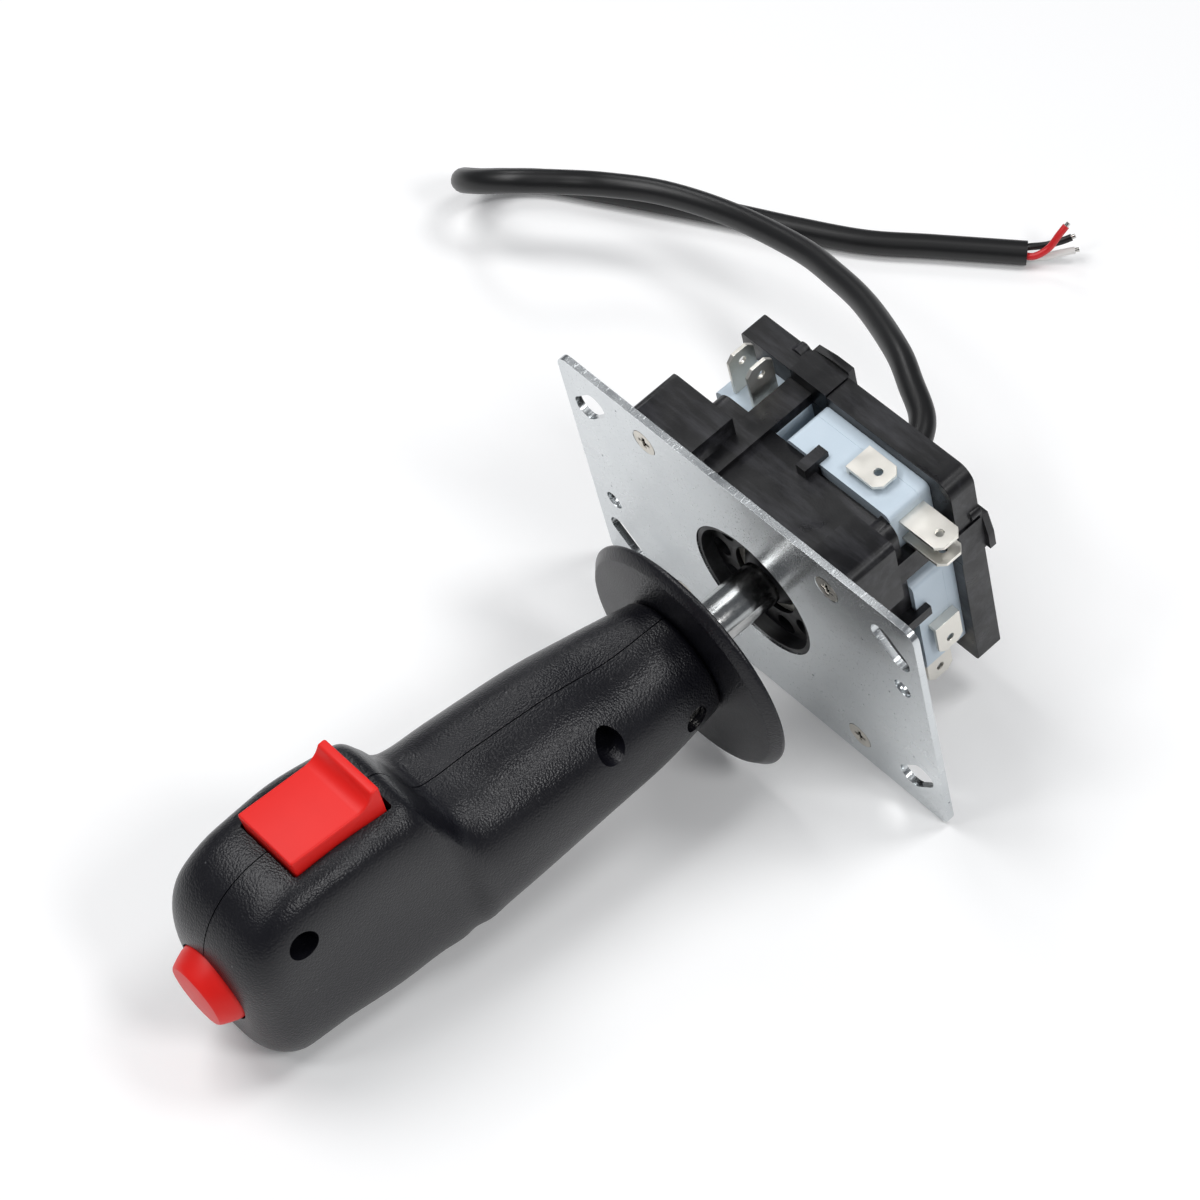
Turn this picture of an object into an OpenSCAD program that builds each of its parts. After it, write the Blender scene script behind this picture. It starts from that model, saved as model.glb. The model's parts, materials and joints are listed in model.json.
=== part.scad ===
// Arcade flight joystick: a trigger grip on a sprung ball pivot over four snap-action switches.
// Every piece is drawn about the mounting plate: z runs up the stick from the plate's front face,
// y runs towards the trigger and x along the plate. It is then laid down as it lies on a table.

/* [Mounting plate] */
// Long side of the plate
plate_w = 97; // [94:1:120]
// Short side of the plate
plate_h = 65; // [63:1:90]
// Sheet thickness of the plate
plate_t = 1.5; // [1.2:0.1:2.5]
// Corner radius of the plate
plate_corner_r = 3; // [1:0.5:5]
// Hole that the stick passes through
plate_hole_d = 31.2; // [30:0.1:33]
// Pitch of the four housing screws, both ways
screw_pitch = 50; // [49:0.5:53]
// Head of a housing screw
screw_head_d = 6; // [5:0.1:6.5]
// Shank of a housing screw
screw_d = 3; // [2.5:0.1:3.5]
// Length of a housing screw
screw_l = 11; // [8:0.5:12]
// Pitch of the mounting slots along the plate, on a plate of standard size
slot_pitch_x = 82.4; // [80:0.2:84]
// Pitch of the mounting slots across the plate, on a plate of standard size
slot_pitch_y = 44; // [40:0.5:46]
// Length of a mounting slot, end to end
slot_l = 11; // [8:0.5:12]
// Width of a mounting slot
slot_w = 5.5; // [4:0.1:6]
// Locating hole
pin_hole_d = 4.2; // [3:0.1:5]
// Pitch of the locating holes along the plate, on a plate of standard size
pin_pitch_x = 84.8; // [82:0.2:88]
// Pitch of the locating holes across the plate
pin_pitch_y = 19.6; // [14:0.2:22]

/* [Base] */
// Side of the square housing core
core_w = 48.6; // [47:0.1:49.5]
// Switch seat behind the plate's front face
seat_depth = 18.3; // [18:0.1:22]
// Length of a corner block of the housing
block_l = 17.1; // [13:0.1:18]
// Width of a corner block of the housing
block_w = 10.5; // [8:0.5:11]
// Height of a corner block behind the plate
block_h = 11.4; // [10:0.1:15]
// Rounded outer edge of a corner block
block_r = 2; // [0.5:0.1:3]
// Plastic outside a screw's axis in its block
block_margin = 5.2; // [3:0.1:6]
// Width of a latch arm
latch_w = 6; // [4:0.5:7]
// Thickness of a latch arm
latch_t = 2.6; // [2:0.1:4]
// Width of a latch's hook
hook_w = 9.6; // [8:0.1:10]
// Overhang of a latch's hook
hook_l = 1.2; // [0.8:0.1:1.5]
// Outer end of a latch's hook from the stick's axis
hook_out = 29.6; // [29.4:0.1:30.5]
// Thickness of a latch's hook
hook_t = 1.5; // [1:0.1:2.5]
// Side of the rear cover
cover_w = 56.4; // [53:0.2:58]
// Thickness of the rear cover
cover_t = 6; // [4.5:0.1:7]
// Rounded corners of the rear cover
cover_round_r = 3.5; // [3:0.5:10]

/* [Switches] */
// Length of a switch case
switch_l = 27.8; // [27:0.1:28.5]
// Height of a switch case, from its plunger face to its terminal face
switch_h = 15.9; // [15:0.1:16.5]
// Thickness of a switch, case and lid together
switch_t = 10.3; // [9.5:0.1:11]
// Thickness of a switch lid
lid_t = 2.8; // [2:0.1:3.5]
// Plunger face of a switch from the stick's axis
switch_face = 9.6; // [9.2:0.05:9.8]
// Plunger's axis from the end of its case
plunger_end = 5.2; // [5:0.1:6]
// Plunger diameter
plunger_d = 3; // [2.4:0.1:3.4]
// Plunger showing past its case
plunger_out = 1; // [0.8:0.05:1.1]
// Travel of a plunger
plunger_travel = 0.8; // [0.5:0.05:0.8]
// Width of a terminal tab
tab_w = 6.3; // [4.8:0.1:6.4]
// Sheet thickness of a terminal
tab_t = 0.8; // [0.5:0.1:1]
// Length of an end tab
tab_l = 10.5; // [8:0.5:12]
// Length of the bent middle tab
bent_tab_l = 8.6; // [7:0.2:10]
// Hole in a terminal
tab_hole_d = 1.8; // [1:0.1:2.4]

/* [Stick] */
// Shaft diameter
shaft_d = 9.5; // [8.8:0.1:10.5]
// Pivot centre behind the plate's front face
pivot_depth = 9; // [8.5:0.1:9.4]
// Pivot ball
ball_d = 16; // [15:0.1:16.6]
// Wall of the loose liner round the ball
liner_t = 1.3; // [1:0.1:1.5]
// Shaft where it passes the ball
neck_d = 8; // [7:0.1:8.2]
// Shaft below the pivot
tail_d = 5.4; // [5:0.1:5.6]
// Bore of the shaft, for the leads
shaft_bore_d = 3.2; // [3.1:0.1:3.6]
// Sleeve that meets the plungers
actuator_d = 11.4; // [10.6:0.1:11.8]
// Flange of that sleeve
flange_d = 13.4; // [12:0.1:13.6]
// Wire of the centring spring
spring_wire_d = 0.8; // [0.6:0.05:0.9]
// Outer diameter of the dust disc
disc_d = 51.2; // [40:0.2:60]
// Thickness of the dust disc
disc_t = 2.6; // [2:0.1:4]
// Back of the dust disc in front of the plate
disc_gap = 17.4; // [14:0.1:24]
// Sag of the loose dust disc on its shaft
disc_sag = 1.7; // [0.2:0.1:2]
// Lean of the stick as it lies, towards the trigger
stick_lean = 1.4; // [0:0.1:3]

/* [Handle] */
// Length of the handle, foot to end
handle_l = 108.4; // [104:0.2:120]
// Length of the head beyond the step
head_l = 46.8; // [45:0.2:50]
// Foot of the handle
foot_d = 26; // [24:0.2:30]
// Width of the grip
grip_w = 33.6; // [30:0.2:36]
// Front of the grip from the stick's axis
grip_front = 20.7; // [19:0.1:23]
// Back of the grip from the stick's axis
grip_back = 12.9; // [11:0.1:15]
// Width of the head
head_w = 29.2; // [29:0.2:34]
// Front of the head from the stick's axis
head_front = 37.2; // [36.5:0.1:38.5]
// Back of the head from the stick's axis
head_back = 7.8; // [7.5:0.1:11]
// Rounding of the head's front edge
head_front_r = 16.5; // [10:0.5:17]
// Rounding of the head's back edge
head_back_r = 9; // [7:0.5:11]
// Rounding of the head's side edges
head_side_r = 9; // [4:0.5:9]
// Wall of the handle shells
shell_t = 2.6; // [2:0.1:3]
// Counterbore for a handle screw
handle_hole_d = 6.1; // [5.8:0.1:6.6]

/* [Trigger and thumb button] */
// Width of the trigger
trigger_w = 15.3; // [12:0.1:16]
// Length of the trigger
trigger_l = 20.5; // [18:0.1:21]
// Trigger face from the stick's axis
trigger_face = 40.4; // [39.6:0.1:42]
// Dish of the trigger's face below its lip
trigger_dish = 3; // [1.5:0.1:3.5]
// Pull of the trigger in degrees
trigger_pull = 6.5; // [3:0.1:6.5]
// Trigger pin
trigger_pin_d = 3; // [2.5:0.1:3.4]
// Thumb button where it leaves the head
button_d = 17; // [14:0.1:18]
// Flat face of the thumb button
button_face_d = 13.8; // [10:0.1:14]
// Height of the thumb button over the head
button_h = 4.2; // [3:0.1:6]
// Thumb button's axis in front of the stick's axis
button_y = 15.2; // [14.5:0.1:16]
// Travel of the thumb button
button_travel = 1.2; // [0.8:0.1:1.3]

/* [Cable] */
// Outer diameter of the cable
cable_d = 5.4; // [4.5:0.1:6]
// Outer diameter of a core
core_wire_d = 1.4; // [1:0.1:1.5]
// Outer diameter of a core's tinned end
core_tip_d = 0.9; // [0.6:0.1:1]

/* [Hidden] */
$fn = 48;

// Clearances
slip = 0.1;
run = 0.3;
cut = 1;

// Levels of the base, along the stick from the plate's front face
seat_z = -seat_depth;
lid_z = seat_z - switch_t + lid_t;
cover_z = seat_z - switch_t;
back_z = cover_z - cover_t;
hook_z = back_z - slip - hook_t;
pivot_z = -pivot_depth;
plunger_z = seat_z - switch_t / 2;
plunger_tip = switch_face - plunger_out;
plunger_in = 4.7;

// Spherical seat: ball, running gap, liner, running gap, cup
ball_r = ball_d / 2;
liner_in_r = ball_r + run;
liner_out_r = liner_in_r + liner_t;
cup_r = liner_out_r + run;
cup_mouth_r = 6.5;
ball_flat = sqrt(ball_r * ball_r - shaft_d * shaft_d / 4);
ring_top_z = pivot_z + 5.8;
ring_wall = 1.4;
ring_out_d = plate_hole_d - 2 * slip;
rib_count = 10;

// Tail of the stick: actuator, spring, washer and clip
flange_z = seat_z - 0.6;
flange_t = 1.6;
spring_top_z = flange_z - flange_t;
spring_l = 6.2;
spring_turns = 5;
washer_t = 0.8;
clip_t = 0.8;
washer_z = spring_top_z - spring_l;
clip_z = washer_z - washer_t;
tail_end_z = clip_z - clip_t - 1.2;
neck_end_z = pivot_z - ball_flat - 1.8;
actuator_wall = 0.7;
spring_r = actuator_d / 2 - actuator_wall - 0.2 - spring_wire_d / 2;
flange_pit_d = 19.2;
flange_pit_z = seat_z + 1.6;

// Slots and locating holes keep their distance from the plate's edges
standard_plate = [97, 65];
slot_at = [slot_pitch_x + plate_w - standard_plate[0], slot_pitch_y + plate_h - standard_plate[1]] / 2;
pin_x = (pin_pitch_x + plate_w - standard_plate[0]) / 2;

// Housing
block_out = screw_pitch / 2 + block_margin;
core_round_r = 4;
latch_lap = 1.9;
latch_x = block_l - block_out - latch_lap;
latch_in = switch_l - plunger_end + 2 * slip;
hook_x = latch_x + 0.8;
hook_peak_w = 4.4;
latch_head_out = cover_w / 2 + 0.4;
nib_x = 1.6;
nib_w = 2.5;
nib_t = 1.4;
seat_relief_w = 2;
seat_relief_h = 1.2;
peg_d = 3;
peg_hole_d = 3.1;
peg_pitch_x = 22.2;
peg_pitch_y = 10.3;
peg_edge = 2.8;
peg_in_cover = 0.8;
peg_l = switch_t + peg_in_cover;
case_r = 1.5;

// Handle, along the stick from the plate's front face
disc_z = disc_gap;
foot_z = disc_z + disc_t;
end_z = foot_z + handle_l;
step_z = end_z - head_l;
foot_r = foot_d / 2;
foot_round = 1.5;
foot_plug_l = 14;
shaft_in_cavity = 42;
cavity_z = foot_z + foot_plug_l;
shaft_top_z = cavity_z + shaft_in_cavity;
grip_l = step_z - foot_z;
dome_z = end_z - head_front_r;
head_run = dome_z - step_z;

// Trigger pin, switch posts and handle screws, as [y, z] in the seam plane
trigger_end_gap = 18.9;
trigger_deep = 13.4;
pin_deep = 8.4;
pin_drop = 3.5;
trigger_top_z = end_z - trigger_end_gap;
trigger_low_z = trigger_top_z - trigger_l;
trigger_in = trigger_face - trigger_deep;
lip_t = 2.3;
lip_r = 6;
pin_at = [trigger_face - pin_deep, trigger_top_z - pin_drop];
slot_gap = (trigger_face - pin_at[0]) * sin(trigger_pull) + 0.15;
slot_deep = trigger_l * sin(trigger_pull);
mini_l = 19.8;
mini_h = 10;
mini_t = 6.4;
mini_peg_d = 2.2;
mini_peg_pitch = 9.5;
mini_plunger_d = 2.4;
mini_plunger_in = 2.2;
mini_plunger_out = button_travel + 0.2;
mini_bore = mini_plunger_in + button_travel + 0.6;
trigger_lever = 9;
trigger_switch_deep = 18.8;
thumb_switch_deep = 22.8;
trigger_plunger_from_end = 13;
thumb_plunger_from_end = 12.2;
trigger_plunger_z = pin_at[1] - trigger_lever;
trigger_case_y = trigger_in - trigger_switch_deep;
trigger_case_z = trigger_plunger_z - trigger_plunger_from_end;
thumb_case_z = end_z - thumb_switch_deep;
thumb_case_y = button_y - thumb_plunger_from_end;
head_screw_in = [9.2, 13.2];
grip_screw_in = [7.5, 26.4];
screw_at = [
    [head_front - head_screw_in[0], end_z - head_screw_in[1]],
    [grip_front - grip_screw_in[0], foot_z + grip_screw_in[1]],
];
clamp_z = foot_z + foot_plug_l / 2;
boss_d = 9;
button_flange_z = end_z - shell_t - 1.9;
button_flange_w = 1.2;

// Contact with the table: the plate's lower edge and the rounded back of the head
back_round = [head_back_r - head_back, end_z - head_back_r];
round_y = back_round[0] * cos(stick_lean) + (back_round[1] - pivot_z) * sin(stick_lean);
round_z = pivot_z + (back_round[1] - pivot_z) * cos(stick_lean) - back_round[0] * sin(stick_lean);
reach = norm([round_y + plate_h / 2, round_z]);
lie_tilt = acos(head_back_r / reach) - atan2(round_z, round_y + plate_h / 2);
stick_fall = lie_tilt - stick_lean;
front_end = (button_y + button_face_d / 2) * sin(stick_fall)
    + (end_z + button_h - pivot_z) * cos(stick_fall) + pivot_z * cos(lie_tilt);
rear_end = hook_out * sin(lie_tilt) - hook_z * cos(lie_tilt);
lie_y = (front_end - rear_end) / 2;
lie_z = plate_h / 2 * cos(lie_tilt);

// Cable from its gland, over and down to the table, round a bend and back to its stripped end
gland_l = 1.9;
gland_z = back_z - gland_l;
cable_route = [
    [0, lie_y - gland_z * cos(lie_tilt), lie_z - gland_z * sin(lie_tilt)],
    [-1.8, 90.2, 40.2], [-5.8, 95.8, 41.2], [-13.8, 100.4, 41.6], [-23, 105.6, 40.8], [-40, 113.8, 36],
    [-54, 118.4, 32], [-68, 121.6, 28], [-89, 122, 23], [-105.6, 118, 20.4], [-117, 111, 19.4],
    [-124.2, 102.8, 20.2], [-130.2, 96.2, 20.2], [-136.6, 92.8, 17.8], [-142.6, 93, 14], [-147.2, 96.8, 9.2],
    [-148.2, 102.2, 5.2], [-146, 108, 3.1], [-140, 114.3, 2.7], [-130.5, 120.8, 2.7], [-118, 129, 2.7],
    [-105, 137.3, 2.7], [-92, 145, 2.7], [-79.5, 153.2, 2.7], [-69, 163, 2.7], [-55, 176, 2.7],
];
cable_end = cable_route[len(cable_route) - 1];
red_route = [[-0.6, -1.4, 0.9], [1.6, 0.9, 1.1], [3.4, 3.6, 2.2], [5, 6.5, 4], [6, 9, 5.6]];
black_route = [[-1.9, -0.4, 0], [0.4, 1.9, 0.1], [2.2, 4.4, 0.5], [4, 7, 1.2], [6, 10, 1.6]];
white_route = [[-0.6, -1.2, -0.9], [1.6, 0.8, -1.1], [4, 2.9, -1.4], [6.6, 4.6, -1.6], [9.4, 7, -1.7]];
tip_l = 3;

steel = "silver";
zinc = "lightgray";
black = [0.12, 0.12, 0.13];
red = [0.86, 0.16, 0.17];
case_blue = [0.66, 0.73, 0.80];

// Curves and swept shapes

function unit(v) = v / norm(v);

function curve_point(p, i, s) = let (
    a = i > 0 ? p[i - 1] : 2 * p[0] - p[1],
    b = p[i],
    c = p[i + 1],
    d = i + 2 < len(p) ? p[i + 2] : 2 * c - b
) (2 * b + (c - a) * s + (2 * a - 5 * b + 4 * c - d) * s * s + (3 * b - a - 3 * c + d) * s * s * s) / 2;

function curve(p, n) = concat(
    [for (i = [0:len(p) - 2], k = [0:n - 1]) curve_point(p, i, k / n)],
    [p[len(p) - 1]]
);

function tangent(p, i) = unit(p[min(i + 1, len(p) - 1)] - p[max(i - 1, 0)]);

function tube_ring(p, i, r, sides) = let (
    t = tangent(p, i),
    n = unit(cross(t, [0, 0, 1])),
    b = cross(n, t)
) [for (j = [0:sides - 1]) p[i] + r * (cos(360 * j / sides) * n + sin(360 * j / sides) * b)];

// Closed skin over rings that all have the same number of points
module skin(rings) {
    m = len(rings[0]);
    last = (len(rings) - 1) * m;
    walls = [for (i = [0:len(rings) - 2], j = [0:m - 1]) let (a = i * m + j, b = i * m + (j + 1) % m)
        each [[a, b, b + m], [a, b + m, a + m]]];
    ends = [[for (j = [m - 1:-1:0]) j], [for (j = [0:m - 1]) last + j]];
    faces = [for (f = concat(walls, ends)) [for (k = [len(f) - 1:-1:0]) f[k]]];
    polyhedron([for (ring = rings) each ring], faces);
}

module tube(path, r, sides) {
    skin([for (i = [0:len(path) - 1]) tube_ring(path, i, r, sides)]);
}

module rounded_rect(w, h, r) {
    square([w - 2 * r, h], center = true);
    square([w, h - 2 * r], center = true);
    for (x = [-1, 1], y = [-1, 1])
        translate([x * (w / 2 - r), y * (h / 2 - r)]) circle(r);
}

module slot_outline(l, w) {
    square([l - w, w], center = true);
    for (x = [-1, 1])
        translate([x * (l - w) / 2, 0]) circle(d = w);
}

// A bar of outline drawn in the (y, z) plane, with its middle at x = 0
module across(w) {
    rotate([90, 0, 90]) translate([0, 0, -w / 2]) linear_extrude(w) children();
}

// A round bar along x from x0 to x1, with its axis at [y, z]
module bar(at, d, x0, x1) {
    translate([x0, at[0], at[1]]) rotate([0, 90, 0]) cylinder(d = d, h = x1 - x0);
}

// Placing

module laid() {
    translate([0, lie_y, lie_z]) rotate([90 + lie_tilt, 0, 0]) children();
}

module on_stick() {
    laid() translate([0, 0, pivot_z]) rotate([-stick_lean, 0, 0]) translate([0, 0, -pivot_z]) children();
}

// Turns what is drawn on the trigger side of the base to another side: 1 is right, 2 is below, 3 is left
module on_side(k) {
    laid() rotate([0, 0, -90 * k]) children();
}

module all_sides() {
    for (k = [0:3])
        rotate([0, 0, -90 * k]) children();
}

// Base

module screw_places() {
    for (x = [-1, 1], y = [-1, 1])
        translate([x * screw_pitch / 2, y * screw_pitch / 2]) children();
}

module mounting_plate() {
    color(zinc) laid() difference() {
        translate([0, 0, -plate_t]) linear_extrude(plate_t) difference() {
            rounded_rect(plate_w, plate_h, plate_corner_r);
            circle(d = plate_hole_d);
            for (x = [-1, 1], y = [-1, 1])
                translate([x * slot_at[0], y * slot_at[1]])
                    rotate(-45 * x * y) slot_outline(slot_l, slot_w);
            for (s = [-1, 1])
                translate([s * pin_x, s * pin_pitch_y / 2]) circle(d = pin_hole_d);
        }
        screw_places() {
            translate([0, 0, -plate_t - cut]) cylinder(d = screw_d + 2 * slip, h = plate_t + 2 * cut);
            translate([0, 0, -plate_t])
                cylinder(d1 = screw_d + 2 * slip, d2 = screw_head_d + 2 * slip, h = plate_t);
            cylinder(d = screw_head_d + 2 * slip, h = cut);
        }
    }
}

module plate_screw() {
    difference() {
        union() {
            translate([0, 0, -plate_t]) cylinder(d1 = screw_d, d2 = screw_head_d, h = plate_t);
            translate([0, 0, -screw_l]) cylinder(d = screw_d, h = screw_l - plate_t / 2);
        }
        for (a = [0, 90])
            rotate(a) translate([-screw_head_d / 4, -screw_head_d / 16, -0.8])
                cube([screw_head_d / 2, screw_head_d / 8, cut]);
    }
}

module plate_screws() {
    color(steel) laid() screw_places() plate_screw();
}

// Arm beside a switch, with a head in a notch of the rear cover and a hook behind the cover
module latch() {
    translate([latch_x, latch_in, cover_z]) cube([latch_w, latch_t, -cover_z - plate_t]);
    translate([hook_x, latch_in, hook_z]) cube([latch_x + latch_w - hook_x, latch_t, -hook_z - plate_t]);
    translate([hook_x, latch_in, hook_z]) cube([hook_w, latch_head_out - latch_in, cover_z - hook_z]);
    translate([hook_x, 0, hook_z]) linear_extrude(hook_t) polygon([
        [0, latch_in - hook_l], [hook_w, latch_in - hook_l], [hook_w, hook_out],
        [hook_w - hook_peak_w, hook_out], [0, latch_head_out],
    ]);
}

module corner_block() {
    translate([-block_out, block_out - block_w, -plate_t - block_h]) linear_extrude(block_h) {
        square([block_l, block_w - block_r]);
        translate([block_r, 0]) square([block_l - block_r, block_w]);
        translate([block_r, block_w - block_r]) circle(block_r);
    }
}

// Pegs that a switch hangs on, and the nib that keeps it in
module switch_holders() {
    for (p = peg_places())
        translate([p[0], p[1], seat_z - peg_l]) cylinder(d = peg_d, h = peg_l + cut);
    nib_y = switch_face + switch_h + slip;
    link_y = core_w / 2 - cut;
    translate([nib_x, nib_y, seat_z - 2.4]) cube([nib_w, nib_t, 6]);
    translate([nib_x, link_y, seat_z + 0.4]) cube([nib_w, nib_y + nib_t - link_y, 3.2]);
}

function peg_places() = let (p = [peg_edge - plunger_end, switch_face + switch_h - peg_edge])
    [p, p + [peg_pitch_x, -peg_pitch_y]];

module base_housing() {
    color(black) laid() difference() {
        union() {
            translate([0, 0, seat_z]) linear_extrude(seat_depth - plate_t)
                rounded_rect(core_w, core_w, core_round_r);
            all_sides() {
                corner_block();
                latch();
                switch_holders();
            }
        }
        translate([0, 0, pivot_z]) cylinder(d = ring_out_d + 2 * slip, h = pivot_depth);
        translate([0, 0, pivot_z]) sphere(cup_r, $fn = 96);
        translate([0, 0, seat_z - cut]) cylinder(r = cup_mouth_r, h = seat_depth);
        translate([0, 0, seat_z - cut]) cylinder(d = flange_pit_d, h = cut + flange_pit_z - seat_z);
        all_sides()
            translate([nib_x + nib_w, core_w / 2 - seat_relief_w, seat_z - cut])
                cube([core_w / 2 - core_round_r - nib_x - nib_w, seat_relief_w + cut, cut + seat_relief_h]);
        screw_places() translate([0, 0, -screw_l - cut]) cylinder(d = screw_d, h = screw_l + cut);
    }
}

// Ring that keeps the liner down and limits the throw, with pockets between its ribs
module throw_ring() {
    color(black) laid() difference() {
        union() {
            translate([0, 0, pivot_z]) cylinder(d = ring_out_d, h = ring_top_z - pivot_z);
            translate([0, 0, pivot_z]) difference() {
                cylinder(d = ring_out_d, h = pivot_depth - run);
                translate([0, 0, -cut]) cylinder(d = ring_out_d - 2 * ring_wall, h = pivot_depth + 2 * cut);
            }
        }
        translate([0, 0, pivot_z]) sphere(cup_r, $fn = 96);
        for (k = [0:rib_count - 1])
            rotate(360 * k / rib_count) translate([cup_r + ring_wall + 0.9, 0, pivot_z + 2])
                cylinder(d = 5.2, h = pivot_depth);
    }
}

module rear_cover_outline() {
    difference() {
        union() {
            rounded_rect(cover_w, cover_w, cover_round_r);
            for (s = [-1, 1])
                translate([-s * cover_w / 4, s * cover_w / 4]) rounded_rect(cover_w / 2, cover_w / 2, 1);
        }
        all_sides()
            translate([hook_x - slip, latch_in - slip]) square([hook_w + 2 * slip, cover_w]);
    }
}

module rear_cover() {
    pocket_d = 17;
    floor_t = 1.5;
    nub_d = 3;
    nub_l = 2.5;
    nub_rise = 0.8;
    nub_x = hook_x - slip - 0.5 - nub_d / 2;
    color(black) laid() difference() {
        translate([0, 0, back_z]) {
            linear_extrude(cover_t) rear_cover_outline();
            all_sides()
                translate([nub_x, (cover_w - nub_d) / 2 + nub_rise]) cylinder(d = nub_d, h = nub_l);
        }
        translate([0, 0, back_z + floor_t]) cylinder(d = pocket_d, h = cover_t);
        translate([0, 0, back_z - cut]) cylinder(d = cable_d + 2, h = cover_t);
        all_sides() for (p = peg_places())
            translate([p[0], p[1], cover_z - cut]) cylinder(d = peg_hole_d, h = 2 * cut);
        // Four shallow fields on the back leave a rim and a cross of ribs
        all_sides()
            translate([3, 3, back_z - cut]) linear_extrude(cut + 0.8) difference() {
                square((cover_w - 9) / 2 - 2.5);
                translate([-3, -3]) circle(d = pocket_d);
                translate([latch_in - hook_l - 4, -hook_x - hook_w - 4]) square([9, hook_w + 2]);
                translate([(cover_w - cover_round_r) / 2 - 3, (cover_w - cover_round_r) / 2 - 3]) square(9);
            }
    }
}

// Switches, drawn on the trigger side with the plunger on the stick's axis

module switch_outline() {
    difference() {
        translate([switch_l / 2 - plunger_end, switch_face + switch_h / 2])
            rounded_rect(switch_l, switch_h, case_r);
        for (p = peg_places())
            translate(p) circle(d = peg_hole_d);
    }
}

module switch_case(k) {
    color(case_blue) on_side(k) difference() {
        translate([0, 0, lid_z]) linear_extrude(switch_t - lid_t) switch_outline();
        translate([0, switch_face - cut, plunger_z]) rotate([-90, 0, 0])
            cylinder(d = plunger_d + 2 * run, h = cut + plunger_in + plunger_travel + 1);
    }
}

module switch_lid(k) {
    color(case_blue) on_side(k) difference() {
        translate([0, 0, cover_z]) linear_extrude(lid_t) switch_outline();
        translate([0, switch_face - cut, plunger_z]) rotate([-90, 0, 0])
            cylinder(d = plunger_d + 2 * run, h = cut + plunger_in + plunger_travel + 1);
    }
}

// A flat tab from its root at x = 0, with a chamfered tip and a hole
module tab_outline(l) {
    tip = 1.4;
    difference() {
        polygon([
            [0, -tab_w / 2], [l - tip, -tab_w / 2], [l, tip - tab_w / 2],
            [l, tab_w / 2 - tip], [l - tip, tab_w / 2], [0, tab_w / 2],
        ]);
        translate([l - 3, 0]) circle(d = tab_hole_d);
    }
}

module switch_tabs(k) {
    face_y = switch_face + switch_h;
    end_x = switch_l - plunger_end;
    bend_x = 9.2;
    rise = 2;
    color([0.80, 0.78, 0.70]) on_side(k) {
        for (y = [face_y - 3.45, face_y - 8.65])
            translate([end_x, y + tab_t / 2, plunger_z]) rotate([90, 0, 0])
                linear_extrude(tab_t) tab_outline(tab_l);
        translate([bend_x, face_y + rise, plunger_z]) rotate([90, 0, 0])
            linear_extrude(tab_t) tab_outline(bent_tab_l);
        translate([bend_x, face_y, plunger_z - tab_w / 2]) cube([tab_t, rise, tab_w]);
    }
}

module plunger(k) {
    color([0.85, 0.2, 0.2]) on_side(k) translate([0, plunger_tip, plunger_z]) rotate([-90, 0, 0])
        rotate_extrude() polygon([
            [0, 0], [plunger_d / 2 - 0.5, 0], [plunger_d / 2, 0.5],
            [plunger_d / 2, plunger_out + plunger_in], [0, plunger_out + plunger_in],
        ]);
}

// Stick

module pivot_liner() {
    color([0.9, 0.9, 0.86]) on_stick() translate([0, 0, pivot_z]) rotate_extrude($fn = 96) intersection() {
        difference() {
            circle(liner_out_r);
            circle(liner_in_r);
        }
        translate([0, -5.5]) square([2 * liner_out_r, 10]);
    }
}

module pivot_ball() {
    color([0.2, 0.2, 0.2]) on_stick() translate([0, 0, pivot_z]) difference() {
        intersection() {
            sphere(ball_r, $fn = 96);
            cube([2 * ball_d, 2 * ball_d, 2 * ball_flat], center = true);
        }
        cylinder(d = neck_d, h = 2 * ball_d, center = true);
    }
}

module shaft() {
    shoulder_z = pivot_z + ball_flat;
    color(steel) on_stick() difference() {
        union() {
            translate([0, 0, shoulder_z]) cylinder(d = shaft_d, h = shaft_top_z - shoulder_z);
            translate([0, 0, neck_end_z]) cylinder(d = neck_d, h = shoulder_z - neck_end_z);
            translate([0, 0, tail_end_z]) cylinder(d = tail_d, h = neck_end_z - tail_end_z);
        }
        translate([0, 0, tail_end_z - cut])
            cylinder(d = shaft_bore_d, h = shaft_top_z - tail_end_z + 2 * cut);
        translate([0, 0, clip_z - clip_t]) difference() {
            cylinder(d = tail_d + cut, h = clip_t);
            translate([0, 0, -cut]) cylinder(d = tail_d - 0.8, h = clip_t + 2 * cut);
        }
        bar([0, clamp_z], 3, shaft_d / 2 - 0.6, shaft_d);
    }
}

module actuator() {
    color([0.75, 0.2, 0.18]) on_stick() difference() {
        union() {
            translate([0, 0, spring_top_z]) cylinder(d = flange_d, h = flange_t);
            translate([0, 0, washer_z + run]) cylinder(d = actuator_d, h = spring_l);
        }
        translate([0, 0, washer_z - cut]) cylinder(d = actuator_d - 2 * actuator_wall, h = spring_l + cut);
        translate([0, 0, washer_z]) cylinder(d = tail_d + 2 * slip, h = 2 * spring_l);
    }
}

module centring_spring() {
    steps = 10;
    rise = spring_l - spring_wire_d;
    path = [for (k = [0:spring_turns * steps]) let (a = 360 * k / steps) [
        spring_r * cos(a), spring_r * sin(a),
        washer_z + spring_wire_d / 2 + rise * k / (spring_turns * steps)]];
    color(steel) on_stick() tube(path, spring_wire_d / 2, 6);
}

module spring_washer() {
    color(zinc) on_stick() translate([0, 0, clip_z]) difference() {
        cylinder(d = actuator_d - 0.6, h = washer_t);
        translate([0, 0, -cut]) cylinder(d = tail_d + 2 * slip, h = washer_t + 2 * cut);
    }
}

module retaining_clip() {
    color(steel) on_stick() translate([0, 0, clip_z - clip_t]) linear_extrude(clip_t) difference() {
        circle(d = actuator_d - 1.4);
        circle(d = tail_d - 0.8);
        translate([0, 1 - tail_d / 2]) square([tail_d - 1.2, actuator_d], center = true);
    }
}

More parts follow.
